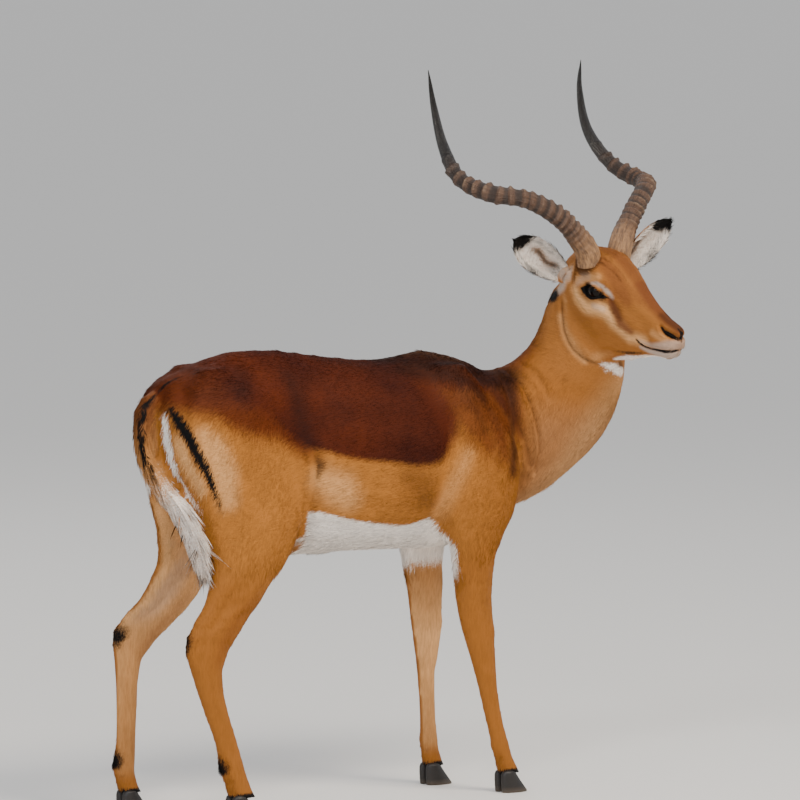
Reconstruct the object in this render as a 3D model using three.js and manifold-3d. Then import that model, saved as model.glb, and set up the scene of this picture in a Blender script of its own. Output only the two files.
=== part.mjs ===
// An adult male impala, life size, standing on four feet with its head turned to its right.
// Units are millimetres. +X runs from tail to chest, +Y to the animal's left and +Z up, and the hooves
// stand on z = 0.
//
// Every fleshy part is a loft: a closed tube whose cross-sections are given at a few stations and run
// smoothly between them. The legs, neck and head are sunk into hollows of the trunk and neck, with a
// thin joint line all round.
import * as THREE from "three";
import { mergeVertices } from "three/addons/utils/BufferGeometryUtils.js";
import Module from "manifold-3d";

const wasm = await Module();
wasm.setup();

// ---- Driving dimensions -------------------------------------------------------------------------------
const JOINT_GAP = 0.4; // clear space left where two parts meet
const EYE_RADIUS = 17; // eyeball
const EYE_AT = [9, 48, -6]; // centre of the left eyeball, in the head's frame
const HORN_RIDGES = 15; // raised rings on the lower part of each horn
const RIDGES_END = 0.7; // the share of the horn's length that they take
const EAR_LENGTH = 150;
const EAR_WIDTH = 88; // across the leaf before it is rolled
const EAR_SHELL = 5; // thickness of the ear's edge, fur included
const HOOF_HEIGHT = 40;
const CLAW_FROM_MIDDLE = 11.5; // each claw's middle from the foot's

// Where the head is, and how it is turned: the origin of its frame lies midway between the eyes.
const HEAD_AT = new THREE.Vector3(566, -134, 994);
const HEAD_YAW = -75; // degrees, turned to the animal's right
const HEAD_PITCH = 10; // degrees, nose down
const HEAD_ROLL = 1;

// ---- Lofts --------------------------------------------------------------------------------------------
const radians = THREE.MathUtils.degToRad;

// A smooth curve through values at rising knots that never swings past them (Fritsch-Carlson slopes).
function smoothThrough(knots, values) {
  const rise = knots.slice(1).map((k, i) => (values[i + 1] - values[i]) / (k - knots[i]));
  const slope = values.map((_, i) => {
    if (i === 0) return rise[0];
    if (i === rise.length) return rise[i - 1];
    return rise[i - 1] * rise[i] <= 0 ? 0 : (2 * rise[i - 1] * rise[i]) / (rise[i - 1] + rise[i]);
  });
  return (x) => {
    let i = 0;
    while (i < rise.length - 1 && x > knots[i + 1]) i++;
    const width = knots[i + 1] - knots[i];
    const t = (x - knots[i]) / width;
    const [t2, t3] = [t * t, t * t * t];
    return (
      values[i] * (2 * t3 - 3 * t2 + 1) +
      slope[i] * width * (t3 - 2 * t2 + t) +
      values[i + 1] * (3 * t2 - 2 * t3) +
      slope[i + 1] * width * (t3 - t2)
    );
  };
}

// Moves a point outwards by the swellings near it: soft bumps, or hollows where high is negative.
function swell(point, outward, swellings) {
  let height = 0;
  for (const { at, reach, high } of swellings) {
    const [rx, ry, rz] = Array.isArray(reach) ? reach : [reach, reach, reach];
    const [dx, dy, dz] = [(point.x - at[0]) / rx, (point.y - at[1]) / ry, (point.z - at[2]) / rz];
    height += high * Math.exp(-(dx * dx + dy * dy + dz * dz));
  }
  return point.addScaledVector(outward, height);
}

// A loft is a cylinder whose vertices are set on the sections. A station gives its centre (x, y, z), how
// its plane is turned (pitch and yaw of the tube's direction, in degrees), how far the section reaches
// up, down, left and right, and how square its upper and lower halves are (2 is an ellipse, 1.6 a keel,
// 3 nearly a box).
const FIELDS = ["x", "y", "z", "pitch", "yaw", "up", "down", "left", "right", "squareUp", "squareDown"];

function loft(stations, sides, rings, { grow = 0, swellings = [] } = {}) {
  const filled = stations.map((s) => ({ pitch: 0, yaw: 0, y: 0, squareUp: 2, squareDown: 2, ...s }));
  const knots = [0];
  filled.slice(1).forEach((s, i) => {
    const before = filled[i];
    knots.push(knots[i] + Math.max(1, Math.hypot(s.x - before.x, s.y - before.y, s.z - before.z)));
  });
  const curve = Object.fromEntries(FIELDS.map((f) => [f, smoothThrough(knots, filled.map((s) => s[f]))]));
  const geometry = new THREE.CylinderGeometry(1, 1, 1, sides, rings);
  const position = geometry.attributes.position;
  const length = knots[knots.length - 1];
  for (let i = 0; i < position.count; i++) {
    const share = 0.5 - position.getY(i);
    // Rings crowd halfway towards the stations, where the shape changes most.
    const place = share * (knots.length - 1);
    const below = Math.min(Math.floor(place), knots.length - 2);
    const between = knots[below] + (place - below) * (knots[below + 1] - knots[below]);
    const at = (share * length + between) / 2;
    const section = Object.fromEntries(FIELDS.map((f) => [f, curve[f](at)]));
    const radius = Math.hypot(position.getX(i), position.getZ(i));
    const angle = Math.atan2(position.getX(i), position.getZ(i));
    const [pitch, yaw] = [radians(section.pitch), radians(section.yaw)];
    const level = Math.cos(pitch);
    const along = new THREE.Vector3(level * Math.cos(yaw), level * Math.sin(yaw), Math.sin(pitch));
    const left = new THREE.Vector3(-Math.sin(yaw), Math.cos(yaw), 0);
    const up = new THREE.Vector3().crossVectors(along, left);
    const power = 2 / (Math.cos(angle) > 0 ? section.squareUp : section.squareDown);
    const rise = Math.sign(Math.cos(angle)) * Math.abs(Math.cos(angle)) ** power;
    const side = Math.sign(Math.sin(angle)) * Math.abs(Math.sin(angle)) ** power;
    const high = rise * ((rise > 0 ? section.up : section.down) + grow) * radius;
    const wide = side * ((side > 0 ? section.left : section.right) + grow) * radius;
    const point = new THREE.Vector3(section.x, section.y, section.z);
    point.addScaledVector(up, high).addScaledVector(left, wide);
    if (radius > 0.5) {
      const outward = new THREE.Vector3().addScaledVector(up, rise).addScaledVector(left, side);
      swell(point, outward.normalize(), swellings);
    }
    const end = share < 1e-6 ? -grow : share > 1 - 1e-6 ? grow : 0;
    point.addScaledVector(along, end);
    position.setXYZ(i, point.x, point.y, point.z);
  }
  return geometry;
}

// ---- Solids -------------------------------------------------------------------------------------------
function solid(geometry) {
  geometry.deleteAttribute("normal");
  geometry.deleteAttribute("uv");
  const merged = mergeVertices(geometry, 1e-3);
  const position = merged.attributes.position;
  const triangles = new Uint32Array(merged.index.array);
  let volume = 0;
  for (let i = 0; i < triangles.length; i += 3) {
    const corner = (k) => new THREE.Vector3().fromBufferAttribute(position, triangles[i + k]);
    const [a, b, c] = [corner(0), corner(1), corner(2)];
    volume += a.dot(b.cross(c));
  }
  if (volume < 0) {
    for (let i = 0; i < triangles.length; i += 3) {
      [triangles[i + 1], triangles[i + 2]] = [triangles[i + 2], triangles[i + 1]];
    }
  }
  const vertProperties = new Float32Array(position.array);
  return new wasm.Manifold(new wasm.Mesh({ numProp: 3, vertProperties, triVerts: triangles }));
}

function largest(manifold) {
  const bodies = manifold.decompose();
  return bodies.reduce((a, b) => (a.volume() > b.volume() ? a : b));
}

function geometryOf(manifold) {
  const mesh = manifold.getMesh();
  const geometry = new THREE.BufferGeometry();
  geometry.setAttribute("position", new THREE.BufferAttribute(new Float32Array(mesh.vertProperties), 3));
  geometry.setIndex(new THREE.BufferAttribute(new Uint32Array(mesh.triVerts), 1));
  geometry.computeVertexNormals();
  return geometry;
}

const headTurn = new THREE.Euler(radians(HEAD_ROLL), radians(HEAD_PITCH), radians(HEAD_YAW), "ZYX");
const headMatrix = new THREE.Matrix4().makeRotationFromEuler(headTurn).setPosition(HEAD_AT);

// ---- Trunk --------------------------------------------------------------------------------------------
// Stations from rump to chest. z is the height at which the section is widest.
const trunkStation = (x, top, z, bottom, wide, squareUp = 2, squareDown = 2.1) => ({
  x, z, up: top - z, down: z - bottom, left: wide, right: wide, squareUp, squareDown,
});
const TRUNK = [
  trunkStation(-418, 800, 768, 735, 14),
  trunkStation(-408, 829, 765, 690, 50),
  trunkStation(-380, 845, 755, 620, 84),
  trunkStation(-330, 863, 745, 560, 105),
  trunkStation(-250, 889, 735, 512, 116, 1.9),
  trunkStation(-180, 894, 715, 497, 115, 1.85),
  trunkStation(-95, 887, 690, 492, 112, 1.85),
  trunkStation(0, 872, 672, 489, 118, 1.85),
  trunkStation(90, 862, 660, 487, 122, 1.8),
  trunkStation(160, 868, 655, 485, 120, 1.7),
  trunkStation(221, 876, 650, 483, 114, 1.6),
  trunkStation(290, 858, 645, 486, 100, 1.65),
  trunkStation(350, 832, 650, 500, 84, 1.8),
  trunkStation(400, 790, 660, 530, 64, 1.9),
  trunkStation(432, 730, 655, 575, 38),
];
const TRUNK_SWELLINGS = [
  { at: [-255, 108, 800], reach: [70, 60, 60], high: 7 }, // points of the hips
  { at: [-255, -108, 800], reach: [70, 60, 60], high: 7 },
  { at: [-110, 108, 760], reach: [70, 60, 60], high: -9 }, // hollows of the flanks
  { at: [-110, -108, 760], reach: [70, 60, 60], high: -9 },
];

// ---- Neck ---------------------------------------------------------------------------------------------
// Stations from inside the shoulders to the back of the skull. The neck leans up and bends to the right.
const NECK = [
  { x: 318, y: 4, z: 690, pitch: 26, yaw: 0, up: 150, down: 150, left: 84, right: 84 },
  { x: 372, y: -1, z: 706, pitch: 35, yaw: 0, up: 160, down: 172, left: 86, right: 86, squareUp: 1.8 },
  { x: 439, y: -8, z: 725, pitch: 45, yaw: -5, up: 153, down: 153, left: 84, right: 84, squareUp: 1.7 },
  { x: 490, y: -22, z: 747, pitch: 52, yaw: -12, up: 132, down: 132, left: 78, right: 78, squareUp: 1.75 },
  { x: 521, y: -36, z: 779, pitch: 56, yaw: -20, up: 118, down: 118, left: 72, right: 72, squareUp: 1.8 },
  { x: 539, y: -50, z: 815, pitch: 60, yaw: -30, up: 106, down: 106, left: 68, right: 68, squareUp: 1.85 },
  { x: 549, y: -62, z: 858, pitch: 62, yaw: -42, up: 98, down: 98, left: 64, right: 64, squareUp: 1.9 },
  { x: 553, y: -70, z: 910, pitch: 67, yaw: -54, up: 89, down: 89, left: 60, right: 60 },
  { x: 553, y: -74, z: 964, pitch: 75, yaw: -64, up: 72, down: 75, left: 54, right: 54 },
  { x: 553, y: -80, z: 1000, pitch: 80, yaw: -70, up: 48, down: 55, left: 42, right: 42 },
];

// ---- Head ---------------------------------------------------------------------------------------------
// Stations in the head's own frame, from the nape to the nose: +X is forward along the mouth and z = 0
// is eye level.
const headStation = (x, top, z, bottom, wide, squareUp = 2, squareDown = 2) => ({
  x, z, up: top - z, down: z - bottom, left: wide, right: wide, squareUp, squareDown,
});
const HEAD = [
  headStation(-104, 30, -8, -50, 28),
  headStation(-92, 46, -5, -84, 45),
  headStation(-70, 60, -2, -116, 54, 2.1),
  headStation(-42, 67, 0, -136, 58, 2.2, 1.9),
  headStation(-15, 68, 0, -148, 60, 2.3, 1.8),
  headStation(8, 65, 0, -152, 61, 2.3, 1.7),
  headStation(32, 55, -8, -149, 54, 2.2, 1.7),
  headStation(60, 38, -26, -143, 44, 2.1, 1.7),
  headStation(92, 12, -46, -133, 35, 2.1, 1.7),
  headStation(124, -10, -60, -120, 30, 2.1, 1.8),
  headStation(152, -27, -68, -113, 29, 2.3, 2),
  headStation(176, -36, -71, -112, 28, 2.4, 2.1),
  headStation(190, -42, -72, -104, 24, 2.3, 2.2),
  headStation(200, -52, -70, -90, 14, 2, 2),
];
const bothSides = ({ at: [x, y, z], ...swelling }) =>
  [1, -1].map((side) => ({ ...swelling, at: [x, side * y, z] }));
const HEAD_SWELLINGS = [
  ...bothSides({ at: [10, 60, 20], reach: [26, 22, 14], high: 5 }), // brow over the eye
  ...bothSides({ at: [34, 56, -8], reach: [14, 20, 18], high: 2 }), // front rim of the socket
  ...bothSides({ at: [-28, 56, -66], reach: [38, 30, 46], high: 5 }), // cheek
  ...bothSides({ at: [62, 40, -80], reach: [30, 22, 26], high: -4 }), // hollow in front of the cheek
  ...bothSides({ at: [-24, 46, 58], reach: [22, 18, 22], high: 6 }), // horn pedicle
  ...bothSides({ at: [180, 28, -56], reach: [14, 14, 12], high: 2.5 }), // nostril wing
];

// ---- Legs ---------------------------------------------------------------------------------------------
// A leg's sections are level. At each height it reaches from back to front along X, and from inner to
// outer across Y.
const FRONT_WIDTHS = [
  // height, outer, inner
  [850, 60, 30], [800, 92, 24], [730, 116, 22], [650, 125, 24], [570, 125, 36], [510, 119, 46],
  [460, 113, 52], [400, 107, 58], [345, 103, 65], [300, 104, 65], [262, 103, 67], [220, 99, 70],
  [150, 98, 71], [106, 99, 70], [84, 102, 67], [62, 101, 68], [44, 104, 65], [24, 103, 66],
];
const HIND_WIDTHS = [
  [868, 60, 14], [830, 101, 8], [770, 121, 6], [700, 126, 6], [625, 125, 8], [560, 123, 16],
  [500, 119, 32], [455, 117, 46], [415, 113, 58], [380, 111, 68], [345, 110, 72], [312, 111, 71],
  [275, 109, 73], [220, 106, 75], [150, 105, 75], [112, 106, 74], [88, 109, 71], [64, 108, 72],
  [44, 111, 69], [24, 110, 70],
];
const FRONT_RIGHT = [
  // height, back, front
  [850, 215, 282], [800, 196, 322], [730, 186, 372], [650, 188, 396], [570, 200, 384], [510, 216, 352],
  [460, 232, 329], [400, 236, 324], [345, 245, 327], [300, 260, 330], [262, 273, 332], [220, 286, 335],
  [150, 305, 347], [106, 318, 359], [84, 321, 369], [62, 331, 371], [44, 336, 386], [24, 340, 396],
];
const FRONT_LEFT = [
  [850, 210, 276], [800, 190, 316], [730, 180, 366], [650, 180, 390], [570, 190, 376], [510, 204, 342],
  [460, 220, 317], [400, 231, 318], [345, 238, 317], [300, 246, 315], [262, 252, 309], [220, 257, 300],
  [150, 262, 302], [106, 264, 304], [84, 262, 309], [62, 267, 307], [44, 271, 319], [24, 275, 328],
];
const HIND_RIGHT = [
  [868, -318, -240], [830, -368, -190], [770, -398, -140], [700, -392, -98], [625, -368, -95],
  [560, -344, -110], [500, -322, -138], [455, -327, -180], [415, -341, -210], [380, -370, -243],
  [345, -386, -268], [312, -386, -294], [275, -370, -302], [220, -351, -292], [150, -322, -268],
  [112, -311, -257], [88, -308, -247], [64, -297, -243], [44, -290, -230], [24, -284, -218],
];
const HIND_LEFT = [
  [868, -322, -244], [830, -372, -196], [770, -402, -150], [700, -398, -112], [625, -376, -112],
  [560, -356, -132], [500, -346, -170], [455, -356, -222], [415, -380, -245], [380, -418, -275],
  [345, -441, -318], [312, -438, -360], [275, -434, -380], [220, -433, -382], [150, -433, -387],
  [112, -435, -388], [88, -442, -388], [64, -434, -392], [44, -427, -378], [24, -421, -366],
];

const footMiddle = (leg) => {
  const [, outer, inner] = leg.widths[leg.widths.length - 1];
  return (outer + inner) / 2;
};

function legStations({ profile, widths, side }) {
  return profile.map(([height, back, front], i) => {
    const [, outer, inner] = widths[i];
    const middle = (outer + inner) / 2;
    const half = (outer - inner) / 2;
    const deep = (front - back) / 2;
    return {
      x: (front + back) / 2, y: side * middle, z: height, pitch: -90,
      up: deep, down: deep, left: half, right: half,
    };
  });
}

// Muscle and bone that stand out of the plain leg, mirrored to the leg's own side. x is given from the
// leg's middle.
const legSwellings = ({ profile, side, marks }) =>
  marks.map(({ x, height, y, reach, high }) => {
    const near = profile.reduce((a, b) => (Math.abs(b[0] - height) < Math.abs(a[0] - height) ? b : a));
    return { at: [(near[1] + near[2]) / 2 + x, side * y, height], reach, high };
  });
const FRONT_MARKS = [
  { x: -40, height: 590, y: 135, reach: [46, 40, 60], high: 7 }, // triceps
  { x: 56, height: 640, y: 120, reach: [34, 50, 50], high: 7 }, // point of the shoulder
  { x: -4, height: 690, y: 130, reach: [18, 40, 70], high: -5 }, // groove before the shoulder blade
  { x: 8, height: 420, y: 110, reach: [30, 24, 60], high: 3 }, // forearm
];
const HIND_MARKS = [
  { x: 60, height: 560, y: 120, reach: [60, 50, 70], high: 8 }, // stifle
  { x: -90, height: 690, y: 125, reach: [40, 50, 70], high: 6 }, // hamstrings
  { x: -22, height: 415, y: 112, reach: [20, 24, 40], high: -3 }, // hollow before the hamstring tendon
];

// ---- Hooves -------------------------------------------------------------------------------------------
// Two narrow, pointed claws on each foot, flat below. inside is 1 for the claw on the left of the foot
// and -1 for the one on its right.
function claw(leg, inside, grow = 0) {
  const y = leg.side * footMiddle(leg) + inside * CLAW_FROM_MIDDLE;
  const outward = inside > 0 ? "left" : "right";
  const inward = inside > 0 ? "right" : "left";
  const station = (z, x, back, front, out, inn) => ({
    x, y, z, pitch: -90, up: front, down: back, [outward]: out, [inward]: inn,
  });
  const stations = [
    station(HOOF_HEIGHT + 4, leg.heel + 16, 8, 8, 5, 4),
    station(HOOF_HEIGHT - 2, leg.heel + 18, 15, 15, 10, 9),
    station(HOOF_HEIGHT * 0.6, leg.heel + 22, 21, 22, 11.5, 10),
    station(0, leg.heel + 28, 25, 34, 12.5, 10.5),
  ];
  return loft(stations, 10, 3, { grow });
}

// ---- Tail ---------------------------------------------------------------------------------------------
// The dock and its long hair as one mass, which hangs and swings a little to the right between the hams.
const TAIL = [
  { x: -380, y: 0, z: 822, pitch: -20, yaw: 180, up: 14, down: 12, left: 18, right: 18 },
  { x: -412, y: 0, z: 808, pitch: -50, yaw: 180, up: 15, down: 13, left: 22, right: 22 },
  { x: -430, y: 0, z: 775, pitch: -76, yaw: 180, up: 14, down: 12, left: 23, right: 23 },
  { x: -432, y: -3, z: 730, pitch: -90, yaw: 180, up: 13, down: 12, left: 23, right: 23 },
  { x: -421, y: -12, z: 680, pitch: -102, yaw: 180, up: 13, down: 12, left: 25, right: 25 },
  { x: -394, y: -40, z: 630, pitch: -112, yaw: 180, up: 15, down: 13, left: 29, right: 29 },
  { x: -371, y: -62, z: 583, pitch: -112, yaw: 180, up: 16, down: 13, left: 30, right: 30 },
  { x: -355, y: -76, z: 535, pitch: -100, yaw: 180, up: 15, down: 12, left: 25, right: 25 },
  { x: -347, y: -82, z: 495, pitch: -94, yaw: 180, up: 7, down: 6, left: 10, right: 10 },
];

// ---- Horns --------------------------------------------------------------------------------------------
// Each horn's middle line in the head's frame: up and out, back, then up again to a nearly straight point.
const HORN_LINES = {
  left: [
    [-22, 40, 40], [-26, 50, 72], [-56, 107, 121], [-84, 171, 161], [-142, 225, 162], [-221, 228, 176],
    [-280, 210, 234], [-312, 207, 312], [-340, 233, 364],
  ],
  right: [
    [-22, -44, 40], [-25, -54, 68], [-50, -105, 123], [-83, -169, 161], [-142, -224, 167],
    [-221, -229, 179], [-286, -214, 228], [-325, -212, 300], [-335, -230, 372],
  ],
};
// The horn's radius along its length, from the root in the skull (0) to the tip (1).
const hornRadius = smoothThrough(
  [0, 0.08, 0.16, 0.34, 0.54, 0.66, 0.76, 0.86, 0.95, 1],
  [25, 24, 20, 18.5, 17.5, 14, 10.5, 7.5, 4, 1],
);

function horn(name, grow = 0) {
  const points = HORN_LINES[name].map((p) => new THREE.Vector3(...p));
  const line = new THREE.CatmullRomCurve3(points, false, "centripetal");
  const [sides, rings] = [8, 40];
  const frames = line.computeFrenetFrames(rings, false);
  const geometry = new THREE.CylinderGeometry(1, 1, 1, sides, rings);
  const position = geometry.attributes.position;
  for (let i = 0; i < position.count; i++) {
    const ring = Math.round((0.5 - position.getY(i)) * rings);
    const share = ring / rings;
    const wave = Math.cos((2 * Math.PI * HORN_RIDGES * share) / RIDGES_END);
    const ridged = share > 0.1 && share < RIDGES_END ? 0.06 * wave : 0;
    const spread = Math.hypot(position.getX(i), position.getZ(i));
    const thick = (hornRadius(share) * (1 + ridged) + grow) * spread;
    const angle = Math.atan2(position.getX(i), position.getZ(i));
    const point = line.getPointAt(share);
    if (ring === 0) point.addScaledVector(frames.tangents[0], -grow);
    point.addScaledVector(frames.normals[ring], thick * Math.cos(angle));
    point.addScaledVector(frames.binormals[ring], thick * Math.sin(angle));
    position.setXYZ(i, point.x, point.y, point.z);
  }
  return geometry;
}

// ---- Ears ---------------------------------------------------------------------------------------------
// A leaf rolled into a scoop. The right ear is held out to the side and a little back, the left one
// forward and up.
const EARS = {
  left: { root: [-40, 64, 12], towards: [50, 91, 110], opening: [1, -0.15, -0.1] },
  right: { root: [-70, -56, 6], towards: [-34, -126, 74], opening: [0.75, -0.5, 0.1] },
};
// Half the leaf's width as a share of the whole, from the tip (0) to the root (1).
const earShape = smoothThrough([0, 0.08, 0.25, 0.5, 0.75, 1], [0.08, 0.46, 0.86, 1, 0.82, 0.5]);

function ear({ root, towards, opening }) {
  const along = new THREE.Vector3(...towards).normalize();
  const open = new THREE.Vector3(...opening);
  open.addScaledVector(along, -open.dot(along)).normalize();
  const across = new THREE.Vector3().crossVectors(along, open);
  const geometry = new THREE.CylinderGeometry(1, 1, 1, 12, 8);
  const position = geometry.attributes.position;
  for (let i = 0; i < position.count; i++) {
    const share = 0.5 - position.getY(i);
    const spread = Math.hypot(position.getX(i), position.getZ(i));
    const angle = Math.atan2(position.getX(i), position.getZ(i));
    const half = (EAR_WIDTH / 2) * earShape(share);
    const roll = 0.8 + 0.75 * share; // radians from the leaf's middle to each edge
    const thick = (EAR_SHELL / 2) * (1 + share) * Math.sin(angle) * spread;
    const turned = roll * Math.cos(angle) * spread;
    const radius = half / roll;
    const point = new THREE.Vector3(...root).addScaledVector(along, EAR_LENGTH * (1 - share));
    point.addScaledVector(across, (radius - thick) * Math.sin(turned));
    point.addScaledVector(open, radius * 0.6 - (radius - thick) * Math.cos(turned));
    position.setXYZ(i, point.x, point.y, point.z);
  }
  return geometry;
}

// ---- Putting the animal together ----------------------------------------------------------------------
const COAT = { roughness: 0.75, metalness: 0 };
const finish = {
  saddle: new THREE.MeshStandardMaterial({ ...COAT, color: 0x8a4a22 }),
  tan: new THREE.MeshStandardMaterial({ ...COAT, color: 0xb5733d }),
  face: new THREE.MeshStandardMaterial({ ...COAT, color: 0xb06a30 }),
  ear: new THREE.MeshStandardMaterial({ ...COAT, color: 0xcdbfae }),
  tail: new THREE.MeshStandardMaterial({ ...COAT, color: 0xd8c7ac }),
  horn: new THREE.MeshStandardMaterial({ color: 0x4a3a30, roughness: 0.6 }),
  hoof: new THREE.MeshStandardMaterial({ color: 0x1f1a17, roughness: 0.5 }),
  eye: new THREE.MeshStandardMaterial({ color: 0x120b08, roughness: 0.08 }),
};

const impala = new THREE.Group();

function add(name, manifold, material) {
  const mesh = new THREE.Mesh(geometryOf(largest(manifold)), material);
  mesh.name = name;
  impala.add(mesh);
}

// heel is the back of the hooves along X.
const FORELEG = { widths: FRONT_WIDTHS, marks: FRONT_MARKS };
const HIND_LEG = { widths: HIND_WIDTHS, marks: HIND_MARKS };
const LEGS = [
  { name: "front_left", side: 1, profile: FRONT_LEFT, ...FORELEG, heel: 272 },
  { name: "front_right", side: -1, profile: FRONT_RIGHT, ...FORELEG, heel: 338 },
  { name: "hind_left", side: 1, profile: HIND_LEFT, ...HIND_LEG, heel: -424 },
  { name: "hind_right", side: -1, profile: HIND_RIGHT, ...HIND_LEG, heel: -287 },
];

const legLoft = (leg, grow) =>
  loft(legStations(leg), 10, 23, { grow, swellings: legSwellings(leg) });
const trunkWhole = solid(loft(TRUNK, 20, 18, { swellings: TRUNK_SWELLINGS }));
const neckWhole = solid(loft(NECK, 18, 12));
const neckGrown = solid(loft(NECK, 18, 12, { grow: JOINT_GAP }));
const headWhole = solid(loft(HEAD, 20, 21, { swellings: HEAD_SWELLINGS }).applyMatrix4(headMatrix));
const headGrown = solid(
  loft(HEAD, 20, 21, { grow: JOINT_GAP, swellings: HEAD_SWELLINGS }).applyMatrix4(headMatrix),
);

let trunk = trunkWhole.subtract(neckGrown);
let neck = neckWhole.subtract(headGrown);
const tailWhole = solid(loft(TAIL, 8, 11));
const tailGrown = solid(loft(TAIL, 8, 11, { grow: JOINT_GAP }));
for (const leg of LEGS) {
  const grown = solid(legLoft(leg, JOINT_GAP));
  trunk = trunk.subtract(grown);
  neck = neck.subtract(grown);
  let limb = solid(legLoft(leg, 0)).subtract(tailGrown);
  for (const inside of [1, -1]) {
    limb = limb.subtract(solid(claw(leg, inside, JOINT_GAP)));
    const place = inside === leg.side ? "outer" : "inner";
    add(`hoof_${leg.name}_${place}`, solid(claw(leg, inside)), finish.hoof);
  }
  add(`leg_${leg.name}`, limb, finish.tan);
}
trunk = trunk.subtract(tailGrown);
add("trunk", trunk, finish.saddle);
add("neck", neck, finish.tan);
add("tail", tailWhole, finish.tail);

let head = headWhole;
for (const [name, side] of [["left", 1], ["right", -1]]) {
  const eyeball = (radius) =>
    solid(
      new THREE.SphereGeometry(radius, 10, 7)
        .translate(EYE_AT[0], side * EYE_AT[1], EYE_AT[2])
        .applyMatrix4(headMatrix),
    );
  add(`eye_${name}`, eyeball(EYE_RADIUS), finish.eye);
  head = head.subtract(eyeball(EYE_RADIUS + JOINT_GAP));
  const hornGrown = solid(horn(name, JOINT_GAP).applyMatrix4(headMatrix));
  add(`horn_${name}`, solid(horn(name).applyMatrix4(headMatrix)), finish.horn);
  head = head.subtract(hornGrown);
  const flap = solid(ear(EARS[name]).applyMatrix4(headMatrix));
  add(`ear_${name}`, flap.subtract(headGrown).subtract(hornGrown), finish.ear);
}
add("head", head, finish.face);

// The origin is on the floor, below the middle of the animal's box.
const box = new THREE.Box3().setFromObject(impala, true);
impala.position.set(-(box.min.x + box.max.x) / 2, -(box.min.y + box.max.y) / 2, -box.min.z);

export default impala;
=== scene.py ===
import math

import bmesh
import bpy
import numpy as np
from mathutils import Matrix, Vector


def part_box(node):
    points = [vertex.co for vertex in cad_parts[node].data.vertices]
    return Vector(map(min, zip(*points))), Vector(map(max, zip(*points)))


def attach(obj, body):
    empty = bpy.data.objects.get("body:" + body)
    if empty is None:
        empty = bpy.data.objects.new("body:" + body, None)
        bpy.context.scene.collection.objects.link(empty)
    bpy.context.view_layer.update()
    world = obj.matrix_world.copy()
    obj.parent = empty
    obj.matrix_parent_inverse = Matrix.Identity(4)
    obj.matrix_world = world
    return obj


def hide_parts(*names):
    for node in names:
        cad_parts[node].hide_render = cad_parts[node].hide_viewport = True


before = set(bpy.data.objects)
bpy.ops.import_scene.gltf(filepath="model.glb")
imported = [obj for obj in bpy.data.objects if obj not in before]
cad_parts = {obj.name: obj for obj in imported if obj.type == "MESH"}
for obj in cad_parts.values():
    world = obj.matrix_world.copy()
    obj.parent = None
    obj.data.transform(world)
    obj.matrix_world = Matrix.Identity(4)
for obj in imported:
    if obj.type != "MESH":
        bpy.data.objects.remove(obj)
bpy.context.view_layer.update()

# ---- Places on the animal ------------------------------------------------------------------------------
# Everything is measured in millimetres from two natural places. Body places run forward from tail to
# chest (x), to the animal's left (y) and up from the floor (z). Head places start midway between the eyes
# and run forward along the mouth, left and up. The head is turned to the right with the nose a little low.
EYES_IN_BODY = np.array([568.0, -141.6, 986.5])
HEAD_IN_BODY = np.array([566.0, -134.0, 994.0])
HEAD_YAW, HEAD_PITCH, HEAD_ROLL = -75, 10, 1

eyes_middle = sum((np.array(c) for n in ("eye_left", "eye_right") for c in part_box(n)), np.zeros(3)) / 4
body_origin = eyes_middle - EYES_IN_BODY / 1000
head_turn = np.array(
    Matrix.Rotation(math.radians(HEAD_YAW), 3, "Z")
    @ Matrix.Rotation(math.radians(HEAD_PITCH), 3, "Y")
    @ Matrix.Rotation(math.radians(HEAD_ROLL), 3, "X")
)


def body_to_world(places):
    return np.asarray(places, float) / 1000 + body_origin


def world_to_body(points):
    return (np.asarray(points, float) - body_origin) * 1000


def head_to_body(places):
    return np.asarray(places, float) @ head_turn.T + HEAD_IN_BODY


def body_to_head(places):
    return (np.asarray(places, float) - HEAD_IN_BODY) @ head_turn


# ---- Camera, floor and light ---------------------------------------------------------------------------
# A long lens, 16 m from the animal and a little above its back. The floor is matt painted board, pale
# enough to throw soft light under the belly. As the camera sees them, large round lamps stand in front, to
# the left and behind, and a small one lights the eye.
CAMERA_AZIMUTH, CAMERA_ELEVATION, CAMERA_DISTANCE = math.radians(-33), math.radians(5.5), 16.0
CAMERA_AIM = (155.3, -11.5, 777.6)
SENSOR = 36.0
MM_PER_PIXEL = 1.95
PICTURE = 800

camera_data = bpy.data.cameras.new("camera")
camera_data.sensor_width = SENSOR
camera_data.lens = SENSOR * CAMERA_DISTANCE / (PICTURE * MM_PER_PIXEL / 1000)
camera_data.clip_start, camera_data.clip_end = 1, 60
camera = bpy.data.objects.new("camera", camera_data)
backwards = Vector((
    math.sin(CAMERA_AZIMUTH) * math.cos(CAMERA_ELEVATION),
    -math.cos(CAMERA_AZIMUTH) * math.cos(CAMERA_ELEVATION),
    math.sin(CAMERA_ELEVATION),
))
camera.rotation_mode = "QUATERNION"
camera.rotation_quaternion = backwards.to_track_quat("Z", "Y")
camera.location = Vector(body_to_world(CAMERA_AIM)) + backwards * CAMERA_DISTANCE
bpy.context.scene.collection.objects.link(camera)
bpy.context.scene.camera = camera


def from_hex(text):
    """A colour written as sRGB hex, in the linear values that Blender works in."""
    parts = [int(text[i:i + 2], 16) / 255 for i in (0, 2, 4)]
    return tuple(p / 12.92 if p <= 0.04045 else ((p + 0.055) / 1.055) ** 2.4 for p in parts) + (1,)


def mesh_object(name, bm):
    """Makes a piece from a finished bmesh, which it frees."""
    data = bpy.data.meshes.new(name)
    bm.to_mesh(data)
    bm.free()
    made = bpy.data.objects.new(name, data)
    bpy.context.scene.collection.objects.link(made)
    return made


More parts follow.
